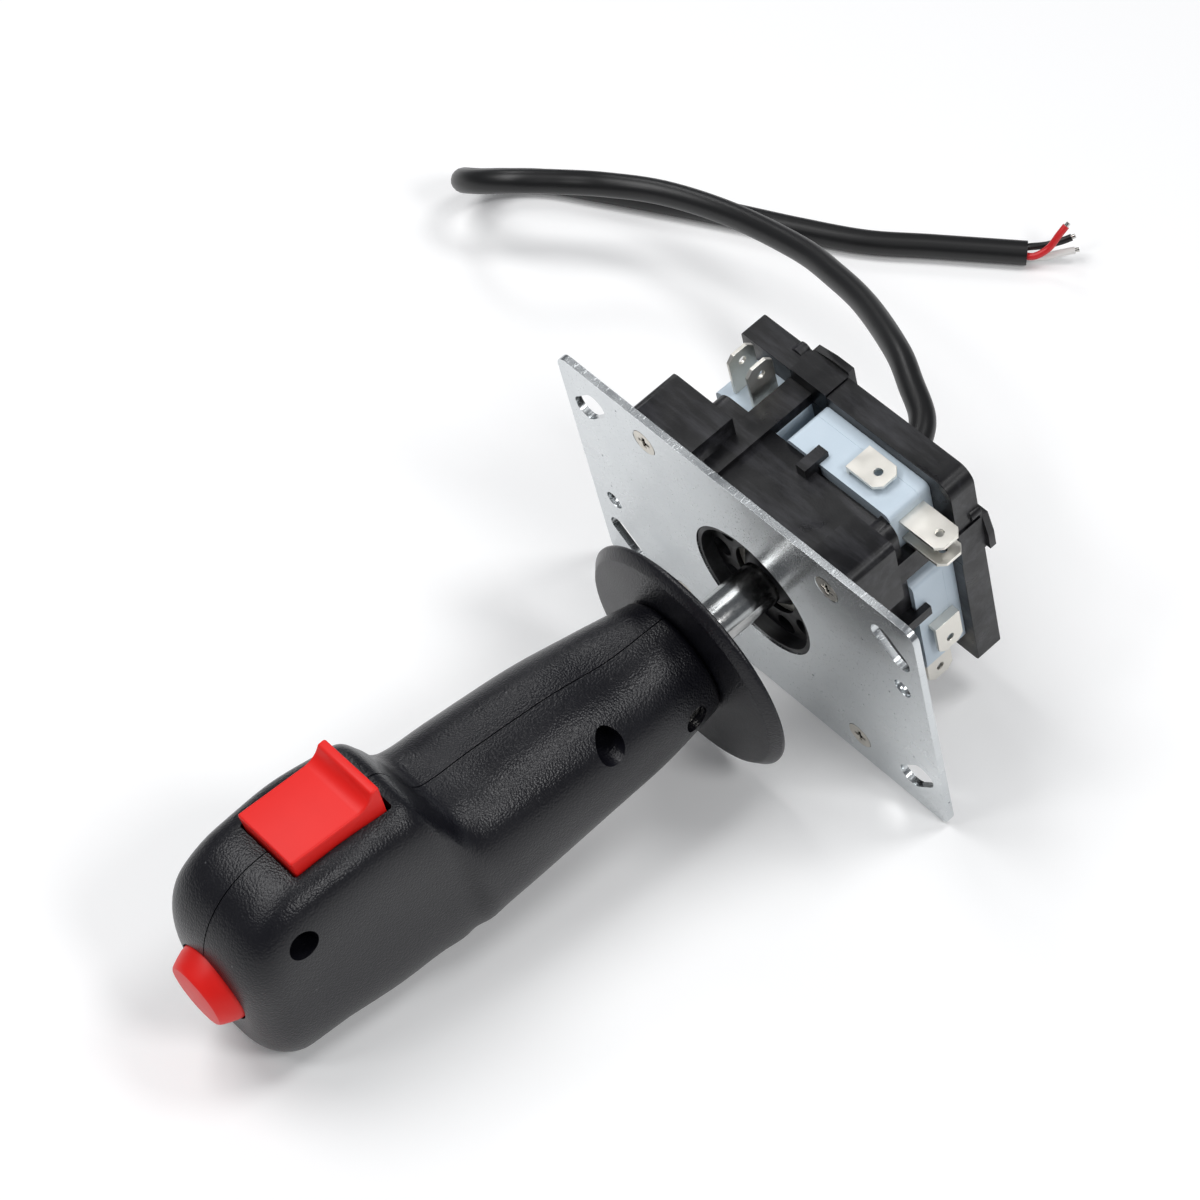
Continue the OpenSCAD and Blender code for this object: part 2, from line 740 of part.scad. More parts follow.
// Three cores that run up the bore of the shaft
module inner_leads() {
    on_stick() for (k = [0:2])
        color(["red", "black", "white"][k]) rotate(120 * k + 30)
            translate([shaft_bore_d / 2 - core_wire_d / 2 - slip / 2, 0, tail_end_z])
                cylinder(d = core_wire_d, h = shaft_top_z - tail_end_z + 3, $fn = 24);
}

// Loose dust disc, which hangs on the shaft by the edge of its bore
module dust_disc() {
    bevel = 1.8;
    edge = 0.8;
    bore_r = shaft_d / 2 + disc_sag + slip;
    color(black) on_stick() translate([0, -disc_sag, disc_z]) rotate_extrude($fn = 96) polygon([
        [bore_r, 0], [disc_d / 2 - 0.4, 0], [disc_d / 2, edge / 2], [disc_d / 2, edge],
        [disc_d / 2 - bevel, disc_t], [bore_r, disc_t],
    ]);
}

// Handle

// Stations of the grip and head: [z, back, front, half width, squareness]
stations = [
    [foot_z + foot_round, -foot_r, foot_r, foot_r, 2],
    [foot_z + 0.24 * grip_l, -foot_r - 1.6, foot_r + 0.11 * (grip_front - foot_r), foot_r + 2, 2],
    [foot_z + 0.46 * grip_l, -grip_back + 0.3, grip_front - 3.3, grip_w / 2 - 0.6, 2.1],
    [foot_z + 0.75 * grip_l, -grip_back, grip_front - 0.5, grip_w / 2, 2.2],
    [step_z - 6, -grip_back, grip_front + 0.4, grip_w / 2, 2.3],
    [step_z - 2, -grip_back - 0.2, grip_front + 2.2, grip_w / 2 - 0.2, 2.5],
    [step_z + 1, -grip_back - 0.5, head_front - 7.8, head_w / 2 + 0.7, 2.9],
    [step_z + 4, -grip_back - 0.7, head_front - 2.9, head_w / 2 + 0.3, 3.3],
    [step_z + 0.31 * head_run, -0.8 * grip_back - 0.2 * head_back, head_front - 1.9, head_w / 2, 3.6],
    [step_z + 0.62 * head_run, -head_back - 2.7, head_front - 0.6, head_w / 2, 3.8],
    [dome_z, -head_back, head_front, head_w / 2, 3.8],
];

function rounded_in(z, r, top) = z <= top - r ? 0 : r - sqrt(max(0, r * r - pow(z - top + r, 2)));

// Section of the handle's end at height z, under a wall w
function dome_station(z, w) = [
    z,
    w - head_back + rounded_in(z, head_back_r - w, end_z - w),
    head_front - w - rounded_in(z, head_front_r - w, end_z - w),
    head_w / 2 - w - rounded_in(z, head_side_r - w, end_z - w),
    3.8 - 1.2 * max(0, z - dome_z) / head_front_r,
];

function thinned(s, w) = [s[0], s[1] + w, s[2] - w, s[3] - w, s[4]];

function dome(w) = [for (a = [14:15.2:90]) dome_station(end_z - w - (head_front_r - w) * (1 - sin(a)), w)];

// Points of a section from a0 to a1 degrees, where -90 is the back and 90 the front
function section(s, a0, a1, n) = [for (k = [0:n]) let (
    a = a0 + (a1 - a0) * k / n,
    c = abs(a) == 90 || a == 270 ? 0 : cos(a),
    e = 2 / s[4]
) [
    s[3] * sign(c) * pow(abs(c), e),
    (s[1] + s[2]) / 2 + (s[2] - s[1]) / 2 * sign(sin(a)) * pow(abs(sin(a)), e),
    s[0]
]];

module half_body() {
    foot = [foot_z, foot_round - foot_r, foot_r - foot_round, foot_r - foot_round, 2];
    rows = concat([foot], curve(stations, 2), dome(0));
    skin([for (s = rows) section(s, -90, 90, 16)]);
}

module cavity() {
    inner = [for (i = [2:len(stations) - 1]) thinned(stations[i], shell_t)];
    first = thinned([cavity_z, -grip_back, stations[1][2], stations[1][3], 2], shell_t);
    rows = concat([first], inner, dome(shell_t));
    skin([for (s = rows) section(s, -90, 247.5, 15)]);
}

// Screw bosses, switch posts and pin lugs that stand in the cavity of a shell
module inner_posts() {
    wall_x = grip_w;
    for (p = screw_at)
        bar(p, boss_d, 0, wall_x);
    for (p = switch_pegs())
        bar(p, 5, mini_t / 2 + slip, wall_x);
    bar(pin_at, trigger_pin_d + 4, trigger_w / 2 + run + slip, wall_x);
}

function switch_pegs() = [for (k = [0, 1]) each [
    [trigger_case_y + 2.5, trigger_case_z + 5 + k * mini_peg_pitch],
    [thumb_case_y + 5.2 + k * mini_peg_pitch, thumb_case_z + 2.5],
]];

module shell_half(side) {
    mirror([side > 0 ? 0 : 1, 0, 0]) difference() {
        half_body();
        difference() {
            cavity();
            inner_posts();
        }
        translate([0, 0, foot_z - cut]) cylinder(d = shaft_d, h = cavity_z - foot_z + 2 * cut);
        translate([-cut, trigger_in - slot_deep, trigger_low_z - slot_gap])
            cube([trigger_w / 2 + run + cut, trigger_face, trigger_l + 2 * slot_gap]);
        translate([0, button_y, button_flange_z]) cylinder(d = button_d + 2 * run, h = head_front_r);
        bar(pin_at, trigger_pin_d, -cut, trigger_w / 2 + 4);
        for (p = screw_at)
            bar(p, screw_d, -cut, side > 0 ? 2 * grip_w : 10);
        if (side > 0) {
            for (p = screw_at)
                bar(p, handle_hole_d, 3.5, 2 * grip_w);
            bar([0, clamp_z], screw_d, 0, foot_d);
            bar([0, clamp_z], handle_hole_d - 0.6, foot_r - 3, foot_d);
        }
    }
}

module mini_pegs() {
    for (p = switch_pegs())
        bar(p, mini_peg_d, 0.4 - mini_t / 2, mini_t / 2 + cut);
}

module handle_left_shell() {
    color(black) on_stick() shell_half(-1);
}

module handle_right_shell() {
    color(black) on_stick() {
        shell_half(1);
        mini_pegs();
    }
}

module pan_screw(at, head_d, head_x, head_t, tip_x) {
    difference() {
        union() {
            bar(at, head_d, head_x, head_x + head_t);
            bar(at, screw_d, tip_x, head_x + cut);
        }
        for (a = [0, 90])
            translate([head_x + head_t - 0.9, at[0], at[1]]) rotate([a, 0, 0])
                translate([0, -head_d / 4, -head_d / 16]) cube([cut, head_d / 2, head_d / 8]);
    }
}

module handle_screws() {
    color(steel) on_stick() for (p = screw_at)
        pan_screw(p, handle_hole_d - 0.5, 3.5, 2, -9);
}

module clamp_screw() {
    color(steel) on_stick() pan_screw([0, clamp_z], handle_hole_d - 1, foot_r - 3, 1.8, shaft_d / 2 - 0.6);
}

module trigger_outline() {
    difference() {
        translate([trigger_in, trigger_low_z]) square([trigger_face - trigger_in, trigger_l]);
        translate([trigger_face - trigger_dish + lip_r, trigger_low_z + lip_t + lip_run()]) circle(lip_r);
        polygon([
            [trigger_face - trigger_dish, trigger_low_z + lip_t + lip_run()],
            [trigger_face - 0.2, trigger_top_z + slip],
            [trigger_face + lip_r, trigger_top_z + slip],
            [trigger_face + lip_r, trigger_low_z + lip_t + lip_run()],
        ]);
    }
}

// Length of the dished curve between the lip's edge and the flat of the face
function lip_run() = sqrt(lip_r * lip_r - pow(lip_r - trigger_dish, 2));

module trigger() {
    post_t = 3;
    post_y = trigger_case_y + mini_h + mini_plunger_out + run;
    color(red) on_stick() difference() {
        union() {
            across(trigger_w) trigger_outline();
            translate([-post_t, post_y, trigger_plunger_z - post_t / 2])
                cube([2 * post_t, trigger_in - post_y + cut, post_t]);
        }
        bar(pin_at, trigger_pin_d + slip, -trigger_w, trigger_w);
    }
}

module trigger_pin() {
    color(steel) on_stick() bar(pin_at, trigger_pin_d, -trigger_w / 2 - 3.8, trigger_w / 2 + 3.8);
}

// A small snap-action switch: case in the (y, z) plane from one corner, pegged along x
module mini_case(y, z, l_y, l_z, pegs) {
    difference() {
        translate([-mini_t / 2, y, z]) cube([mini_t, l_y, l_z]);
        for (p = pegs)
            bar(p, mini_peg_d + 2 * slip, -mini_t, mini_t);
        children();
    }
}

module trigger_switch() {
    pegs = [for (k = [0, 1]) [trigger_case_y + 2.5, trigger_case_z + 5 + k * mini_peg_pitch]];
    color([0.1, 0.1, 0.12]) on_stick()
        mini_case(trigger_case_y, trigger_case_z, mini_h, mini_l, pegs)
            translate([0, trigger_case_y + mini_h - mini_bore, trigger_plunger_z]) rotate([-90, 0, 0])
                cylinder(d = mini_plunger_d + 2 * run, h = mini_bore + cut);
}

module trigger_plunger() {
    color(red) on_stick() translate([0, trigger_case_y + mini_h - mini_plunger_in, trigger_plunger_z])
        rotate([-90, 0, 0]) cylinder(d = mini_plunger_d, h = mini_plunger_in + mini_plunger_out);
}

module thumb_button() {
    flange_t = 1.5;
    stem_z = thumb_case_z + mini_h + mini_plunger_out + run;
    color(red) on_stick() translate([0, button_y, 0]) {
        translate([0, 0, button_flange_z]) cylinder(d = button_d, h = end_z - button_flange_z - 0.6);
        translate([0, 0, end_z - 0.6]) cylinder(d1 = button_d, d2 = button_face_d, h = button_h + 0.6);
        translate([0, 0, button_flange_z - flange_t])
            cylinder(d = button_d + 2 * button_flange_w, h = flange_t);
        translate([0, 0, stem_z]) cylinder(d = 6, h = button_flange_z - flange_t - stem_z);
    }
}

module thumb_switch() {
    pegs = [for (k = [0, 1]) [thumb_case_y + 5.2 + k * mini_peg_pitch, thumb_case_z + 2.5]];
    color([0.1, 0.1, 0.12]) on_stick()
        mini_case(thumb_case_y, thumb_case_z, mini_l, mini_h, pegs)
            translate([0, button_y, thumb_case_z + mini_h - mini_bore])
                cylinder(d = mini_plunger_d + 2 * run, h = mini_bore + cut);
}

module thumb_plunger() {
    color(red) on_stick() translate([0, button_y, thumb_case_z + mini_h - mini_plunger_in])
        cylinder(d = mini_plunger_d, h = mini_plunger_in + mini_plunger_out);
}

// Cable

module cable_gland() {
    color(black) laid() {
        translate([0, 0, back_z - 1.5]) cylinder(d = cable_d + 7, h = 1.5);
        translate([0, 0, gland_z]) cylinder(d1 = cable_d + 2, d2 = cable_d + 4, h = gland_l);
        translate([0, 0, back_z]) cylinder(d = cable_d + 2, h = 1.5);
    }
}

module cable() {
    color(black) tube(curve(cable_route, 3), cable_d / 2, 10);
}

function from_end(route) = [for (p = route) cable_end + p];

module wire(route) {
    tube(curve(from_end(route), 3), core_wire_d / 2, 8);
}

module wire_red() {
    color(red) wire(red_route);
}

module wire_black() {
    color(black) wire(black_route);
}

module wire_white() {
    color("white") wire(white_route);
}

module wire_tips() {
    color(steel) for (route = [red_route, black_route, white_route]) let (
        last = len(route) - 1,
        along = unit(route[last] - route[last - 1])
    ) tube(from_end([route[last], route[last] + tip_l * along]), core_tip_d / 2, 8);
}

mounting_plate();
plate_screws();
base_housing();
throw_ring();
rear_cover();
switch_case(0);  // switch_case_top
switch_case(1);  // switch_case_right
switch_case(2);  // switch_case_bottom
switch_case(3);  // switch_case_left
switch_lid(0);  // switch_lid_top
switch_lid(1);  // switch_lid_right
switch_lid(2);  // switch_lid_bottom
switch_lid(3);  // switch_lid_left
switch_tabs(0);  // switch_tabs_top
switch_tabs(1);  // switch_tabs_right
switch_tabs(2);  // switch_tabs_bottom
switch_tabs(3);  // switch_tabs_left
plunger(0);  // plunger_top
plunger(1);  // plunger_right
plunger(2);  // plunger_bottom
plunger(3);  // plunger_left
pivot_liner();
pivot_ball();
shaft();
actuator();
centring_spring();
spring_washer();
retaining_clip();
inner_leads();
dust_disc();
handle_left_shell();
handle_right_shell();
handle_screws();
clamp_screw();
trigger();
trigger_pin();
trigger_switch();
trigger_plunger();
thumb_button();
thumb_switch();
thumb_plunger();
cable_gland();
cable();
wire_red();
wire_black();
wire_white();
wire_tips();
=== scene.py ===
import json
import math

import bmesh
import bpy
from mathutils import Matrix, Vector


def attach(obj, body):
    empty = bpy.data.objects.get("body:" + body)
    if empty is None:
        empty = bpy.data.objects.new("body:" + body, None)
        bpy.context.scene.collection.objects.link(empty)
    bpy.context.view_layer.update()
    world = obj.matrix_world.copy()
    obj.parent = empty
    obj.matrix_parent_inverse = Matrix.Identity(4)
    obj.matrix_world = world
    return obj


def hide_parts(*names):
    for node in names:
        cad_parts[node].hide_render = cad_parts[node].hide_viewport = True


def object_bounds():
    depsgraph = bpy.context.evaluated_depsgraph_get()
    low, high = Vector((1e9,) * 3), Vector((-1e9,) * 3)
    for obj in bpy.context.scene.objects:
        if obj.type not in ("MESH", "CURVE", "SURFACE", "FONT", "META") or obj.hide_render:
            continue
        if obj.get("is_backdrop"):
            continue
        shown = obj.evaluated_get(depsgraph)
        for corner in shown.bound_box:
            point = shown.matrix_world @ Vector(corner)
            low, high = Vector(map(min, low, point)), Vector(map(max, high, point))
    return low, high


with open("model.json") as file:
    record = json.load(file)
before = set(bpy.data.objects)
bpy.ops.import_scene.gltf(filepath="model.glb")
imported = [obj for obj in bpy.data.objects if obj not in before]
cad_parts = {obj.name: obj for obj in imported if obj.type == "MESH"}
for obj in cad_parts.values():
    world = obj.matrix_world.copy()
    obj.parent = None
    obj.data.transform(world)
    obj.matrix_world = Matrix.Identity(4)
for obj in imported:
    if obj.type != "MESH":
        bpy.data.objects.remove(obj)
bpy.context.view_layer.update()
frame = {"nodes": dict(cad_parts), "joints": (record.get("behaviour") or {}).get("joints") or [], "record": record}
scene = bpy.context.scene
mm = 0.001

# Two working frames, both in millimetres: the plate's and the stick's, z runs up the stick from the plate
mounts = {m["name"]: m for m in frame["record"]["mounts"]}
joints = {j["name"]: j for j in frame["joints"]}
across = Vector((1, 0, 0))
plateUp = Vector(mounts["panel_face"]["axis"]).normalized()
plateCentre = Vector(mounts["locating_holes"]["pos_m"])
stickUp = across.cross(Vector(joints["stick_roll"]["axis"])).normalized()
pivot = Vector(joints["stick_roll"]["pos_m"])
pivotDepth = 9.0


def workFrame(up, origin):
    turn = Matrix((across, up.cross(across), up)).transposed().to_4x4()
    return Matrix.Translation(origin) @ turn @ Matrix.Scale(mm, 4)


plateFrame = workFrame(plateUp, plateCentre)
stickFrame = workFrame(stickUp, pivot + stickUp * pivotDepth * mm)
rowFrame = Matrix.Scale(mm, 4)
print("frames ready")

# Camera at the photograph's place
photoCamera = {
    "place": (373.66, -314.26, 584.07),  # mm, in the part's frame
    "right": (0.6557, 0.7550, -0.0032),
    "down": (0.5502, -0.4807, -0.6827),
    "lens": 120.0,
    "sensor": 36.0,
}


def makeCamera(c):
    right = Vector(c["right"]).normalized()
    up = -Vector(c["down"])
    up = (up - right * up.dot(right)).normalized()
    data = bpy.data.cameras.new("photoCamera")
    data.lens = c["lens"]
    data.sensor_width = c["sensor"]
    data.clip_start = 0.02
    data.clip_end = 20
    camera = bpy.data.objects.new("photoCamera", data)
    turn = Matrix((right, up, right.cross(up))).transposed().to_4x4()
    camera.matrix_world = Matrix.Translation(Vector(c["place"]) * mm) @ turn
    scene.collection.objects.link(camera)
    scene.camera = camera


makeCamera(photoCamera)
print("camera ready")

# Materials


def colour(code):
    parts = [int(code[i:i + 2], 16) / 255 for i in (1, 3, 5)]
    return [p / 12.92 if p <= 0.04045 else ((p + 0.055) / 1.055) ** 2.4 for p in parts] + [1.0]


def addNode(tree, kind, settings=None, inputs=None):
    node = tree.nodes.new(kind)
    for key, value in (settings or {}).items():
        setattr(node, key, value)
    for key, value in (inputs or {}).items():
        if isinstance(value, bpy.types.NodeSocket):
            tree.links.new(value, node.inputs[key])
        else:
            node.inputs[key].default_value = value
    return node


def startMaterial(name, base):
    material = bpy.data.materials.new(name)
    material.use_nodes = True
    tree = material.node_tree
    shader = tree.nodes["Principled BSDF"]
    for key, value in base.items():
        shader.inputs[key].default_value = value
    place = addNode(tree, "ShaderNodeTexCoord").outputs["Object"]
    return material, tree, shader, place


def perMetre(size):
    return 1 / (size * mm)  # pattern scale for a feature of that size in millimetres


def connect(tree, shader, links):
    for key, socket in links.items():
        tree.links.new(socket, shader.inputs[key])


def grainedAbs():
    # Black ABS moulded against an etched leather grain: fine pebbles that glitter where a lamp is mirrored
    look = {"grain": 0.44, "fine": 0.2, "smudge": 24.0, "depth": 0.075, "lint": 7.0}  # grain a little coarse, to show
    m, tree, shader, place = startMaterial("grainedAbs", {"IOR": 1.53, "Specular IOR Level": 0.34})
    cells = addNode(tree, "ShaderNodeTexVoronoi", {}, {"Vector": place, "Scale": perMetre(look["grain"])})
    fine = addNode(tree, "ShaderNodeTexNoise", {}, {"Vector": place, "Scale": perMetre(look["fine"]), "Detail": 2.0})
    height = addNode(tree, "ShaderNodeMath", {"operation": "MULTIPLY_ADD"},
                     {0: fine.outputs["Fac"], 1: 0.4, 2: cells.outputs["Distance"]})
    bump = addNode(tree, "ShaderNodeBump", {"invert": True}, {"Strength": 0.8, "Distance": look["depth"] * mm,
                                                             "Height": height.outputs[0]})
    smudge = addNode(tree, "ShaderNodeTexNoise", {}, {"Vector": place, "Scale": perMetre(look["smudge"]),
                                                     "Detail": 4.0})
    lint = addNode(tree, "ShaderNodeTexVoronoi", {}, {"Vector": place, "Scale": perMetre(look["lint"])})
    speck = addNode(tree, "ShaderNodeMapRange", {}, {"Value": lint.outputs["Distance"], "From Min": 0.02,
                                                    "From Max": 0.035, "To Min": 0.5, "To Max": 0.0})
    tone = addNode(tree, "ShaderNodeMix", {"data_type": "RGBA"},
                   {0: smudge.outputs["Fac"], 6: colour("#08080d"), 7: colour("#121219")})
    tone = addNode(tree, "ShaderNodeMix", {"data_type": "RGBA"},
                   {0: speck.outputs["Result"], 6: tone.outputs[2], 7: colour("#6a6a6c")})
    rough = addNode(tree, "ShaderNodeMapRange", {}, {"Value": smudge.outputs["Fac"], "From Min": 0.3, "From Max": 0.7,
                                                    "To Min": 0.27, "To Max": 0.36})
    connect(tree, shader, {"Base Color": tone.outputs[2], "Roughness": rough.outputs["Result"],
                           "Normal": bump.outputs["Normal"]})
    return m


def mouldedNylon(name, low, high):
    # Black glass-filled nylon from a plain steel mould: satin, with flow marks, sinks and pale rub marks
    look = {"flow": 9.0, "rub": 3.0, "long": 16.0, "fine": 0.4, "sink": 6.0, "relief": 0.05}
    m, tree, shader, place = startMaterial(name, {"IOR": 1.52, "Specular IOR Level": 0.35})
    flow = addNode(tree, "ShaderNodeTexNoise", {}, {"Vector": place, "Scale": perMetre(look["flow"]), "Detail": 5.0,
                                                   "Distortion": 0.6})
    drawn = addNode(tree, "ShaderNodeMapping", {}, {"Vector": place, "Scale": (
        perMetre(look["long"]), perMetre(look["rub"]), perMetre(look["rub"]))})
    rub = addNode(tree, "ShaderNodeTexNoise", {}, {"Vector": drawn.outputs["Vector"], "Scale": 1.0, "Detail": 7.0,
                                                  "Roughness": 0.62})
    fine = addNode(tree, "ShaderNodeTexNoise", {}, {"Vector": place, "Scale": perMetre(look["fine"]), "Detail": 2.0})
    sink = addNode(tree, "ShaderNodeTexNoise", {}, {"Vector": place, "Scale": perMetre(look["sink"]), "Detail": 1.0})
    worn = addNode(tree, "ShaderNodeMapRange", {}, {"Value": rub.outputs["Fac"], "From Min": 0.46, "From Max": 0.74})
    tone = addNode(tree, "ShaderNodeMix", {"data_type": "RGBA"},
                   {0: worn.outputs["Result"], 6: colour("#0a0a0d"), 7: colour("#323236")})
    rough = addNode(tree, "ShaderNodeMapRange", {}, {"Value": flow.outputs["Fac"], "From Min": 0.3, "From Max": 0.7,
                                                    "To Min": low, "To Max": high})
    height = addNode(tree, "ShaderNodeMath", {"operation": "MULTIPLY_ADD"},
                     {0: sink.outputs["Fac"], 1: 4.0, 2: fine.outputs["Fac"]})
    bump = addNode(tree, "ShaderNodeBump", {}, {"Strength": 0.35, "Distance": look["relief"] * mm,
                                               "Height": height.outputs[0]})
    connect(tree, shader, {"Base Color": tone.outputs[2], "Roughness": rough.outputs["Result"],
                           "Normal": bump.outputs["Normal"]})
    return m


def satinRed():
    # Red ABS from a fine satin mould: even strong colour, soft highlight, a little light in its edges
    look = {"satin": 0.3, "shade": 12.0, "relief": 0.02}
    m, tree, shader, place = startMaterial("satinRedAbs", {
        "IOR": 1.53, "Specular IOR Level": 0.25, "Roughness": 0.42, "Subsurface Weight": 0.06,
        "Subsurface Radius": (0.8, 0.2, 0.1), "Subsurface Scale": mm})
    shade = addNode(tree, "ShaderNodeTexNoise", {}, {"Vector": place, "Scale": perMetre(look["shade"]),
                                                    "Detail": 3.0})
    satin = addNode(tree, "ShaderNodeTexNoise", {}, {"Vector": place, "Scale": perMetre(look["satin"]),
                                                    "Detail": 2.0})
    tone = addNode(tree, "ShaderNodeMix", {"data_type": "RGBA"},
                   {0: shade.outputs["Fac"], 6: colour("#e01a16"), 7: colour("#ee241e")})
    bump = addNode(tree, "ShaderNodeBump", {}, {"Strength": 0.2, "Distance": look["relief"] * mm,
                                               "Height": satin.outputs["Fac"]})
    connect(tree, shader, {"Base Color": tone.outputs[2], "Normal": bump.outputs["Normal"]})
    return m


def zincSheet():
    # Cold-rolled steel sheet, zinc plated: pale blue-grey, cloudy, with handling scratches and small pits
    look = {"cloud": 13.0, "scratch": 0.45, "long": 16.0, "pit": 5.0, "deep": 0.03}
    m, tree, shader, place = startMaterial("zincSheet", {"Metallic": 1.0})
    cloud = addNode(tree, "ShaderNodeTexNoise", {}, {"Vector": place, "Scale": perMetre(look["cloud"]),
                                                    "Detail": 6.0})
    strokes = []
    for turn in (0.5, 2.1):
        drawn = addNode(tree, "ShaderNodeMapping", {}, {
            "Vector": place, "Rotation": (turn, 0.4, turn * 0.7),
            "Scale": (perMetre(look["scratch"]), perMetre(look["long"]), perMetre(look["scratch"]))})
        strokes.append(addNode(tree, "ShaderNodeTexNoise", {}, {
            "Vector": drawn.outputs["Vector"], "Scale": 1.0, "Detail": 3.0}).outputs["Fac"])
    both = addNode(tree, "ShaderNodeMath", {"operation": "MAXIMUM"}, {0: strokes[0], 1: strokes[1]})
    mark = addNode(tree, "ShaderNodeMapRange", {}, {"Value": both.outputs[0], "From Min": 0.64, "From Max": 0.74})
    pits = addNode(tree, "ShaderNodeTexVoronoi", {}, {"Vector": place, "Scale": perMetre(look["pit"])})
    pit = addNode(tree, "ShaderNodeMapRange", {}, {"Value": pits.outputs["Distance"], "From Min": 0.03,
                                                  "From Max": 0.06, "To Min": 1.0, "To Max": 0.0})
    harm = addNode(tree, "ShaderNodeMath", {"operation": "MAXIMUM"},
                   {0: mark.outputs["Result"], 1: pit.outputs["Result"]})
    tone = addNode(tree, "ShaderNodeMix", {"data_type": "RGBA"},
                   {0: cloud.outputs["Fac"], 6: colour("#bcc1c4"), 7: colour("#dfe2e3")})
    tone = addNode(tree, "ShaderNodeMix", {"data_type": "RGBA"},
                   {0: pit.outputs["Result"], 6: tone.outputs[2], 7: colour("#70777c")})
    rough = addNode(tree, "ShaderNodeMapRange", {}, {"Value": cloud.outputs["Fac"], "From Min": 0.3, "From Max": 0.7,
                                                    "To Min": 0.17, "To Max": 0.29})
    rougher = addNode(tree, "ShaderNodeMath", {"operation": "MULTIPLY_ADD"},
                      {0: harm.outputs[0], 1: 0.22, 2: rough.outputs["Result"]})
    bump = addNode(tree, "ShaderNodeBump", {"invert": True}, {"Strength": 0.35, "Distance": look["deep"] * mm,
                                                             "Height": harm.outputs[0]})
    connect(tree, shader, {"Base Color": tone.outputs[2], "Roughness": rougher.outputs[0],
                           "Normal": bump.outputs["Normal"]})
    return m


def brightMetal(name, pale, dark, low, high, patch):
    # Polished, nickelled or tinned metal: bright, with slightly duller patches of a given size
    m, tree, shader, place = startMaterial(name, {"Metallic": 1.0})
    cloud = addNode(tree, "ShaderNodeTexNoise", {}, {"Vector": place, "Scale": perMetre(patch), "Detail": 5.0})
    tone = addNode(tree, "ShaderNodeMix", {"data_type": "RGBA"},
                   {0: cloud.outputs["Fac"], 6: colour(dark), 7: colour(pale)})
    rough = addNode(tree, "ShaderNodeMapRange", {}, {"Value": cloud.outputs["Fac"], "From Min": 0.3, "From Max": 0.7,
                                                    "To Min": low, "To Max": high})
    connect(tree, shader, {"Base Color": tone.outputs[2], "Roughness": rough.outputs["Result"]})
    return m


def screwNickel():
    # Nickel-plated screws with painted shade down in their cross recesses and round their heads
    look = {"patch": 1.2, "unshaded": 0.12, "shaded": 0.5}  # mm, the last two below the top of the heads
    m, tree, shader, place = startMaterial("screwNickel", {"Metallic": 1.0})
    heads = frame["nodes"]["plate_screws"].data.vertices
    top = max(v.co.dot(plateUp) for v in heads)
    depth = addNode(tree, "ShaderNodeVectorMath", {"operation": "DOT_PRODUCT"}, {0: place, 1: plateUp})
    # Painted shade mask by depth below the tops of the heads: 1 on the tops, 0 down in the recesses and round the
    # heads
    unshaded = addNode(tree, "ShaderNodeMapRange", {}, {"Value": depth.outputs["Value"],
                                                    "From Min": top - look["shaded"] * mm,
                                                    "From Max": top - look["unshaded"] * mm})
    cloud = addNode(tree, "ShaderNodeTexNoise", {}, {"Vector": place, "Scale": perMetre(look["patch"]),
                                                    "Detail": 5.0})
    tone = addNode(tree, "ShaderNodeMix", {"data_type": "RGBA"},
                   {0: cloud.outputs["Fac"], 6: colour("#a8a196"), 7: colour("#e2ded4")})
    # Painted shade: near black and rough in the recesses and round the heads
    tone = addNode(tree, "ShaderNodeMix", {"data_type": "RGBA"},
                   {0: unshaded.outputs["Result"], 6: colour("#1c1a17"), 7: tone.outputs[2]})
    rough = addNode(tree, "ShaderNodeMapRange", {}, {"Value": unshaded.outputs["Result"], "To Min": 0.6, "To Max": 0.22})
    connect(tree, shader, {"Base Color": tone.outputs[2], "Roughness": rough.outputs["Result"]})
    return m


def mouldedPlastic(name, pale, dark, roughness, grit, relief):
    # Small satin mouldings and cable sheaths: an even colour with a little cloud and a fine grain
    look = {"cloud": 7.0}
    m, tree, shader, place = startMaterial(name, {"IOR": 1.55, "Roughness": roughness, "Specular IOR Level": 0.4})
    cloud = addNode(tree, "ShaderNodeTexNoise", {}, {"Vector": place, "Scale": perMetre(look["cloud"]),
                                                    "Detail": 4.0})
    grain = addNode(tree, "ShaderNodeTexNoise", {}, {"Vector": place, "Scale": perMetre(grit), "Detail": 2.0})
    tone = addNode(tree, "ShaderNodeMix", {"data_type": "RGBA"},
                   {0: cloud.outputs["Fac"], 6: colour(dark), 7: colour(pale)})
    bump = addNode(tree, "ShaderNodeBump", {}, {"Strength": 0.3, "Distance": relief * mm,
                                               "Height": grain.outputs["Fac"]})
    connect(tree, shader, {"Base Color": tone.outputs[2], "Normal": bump.outputs["Normal"]})
    return m


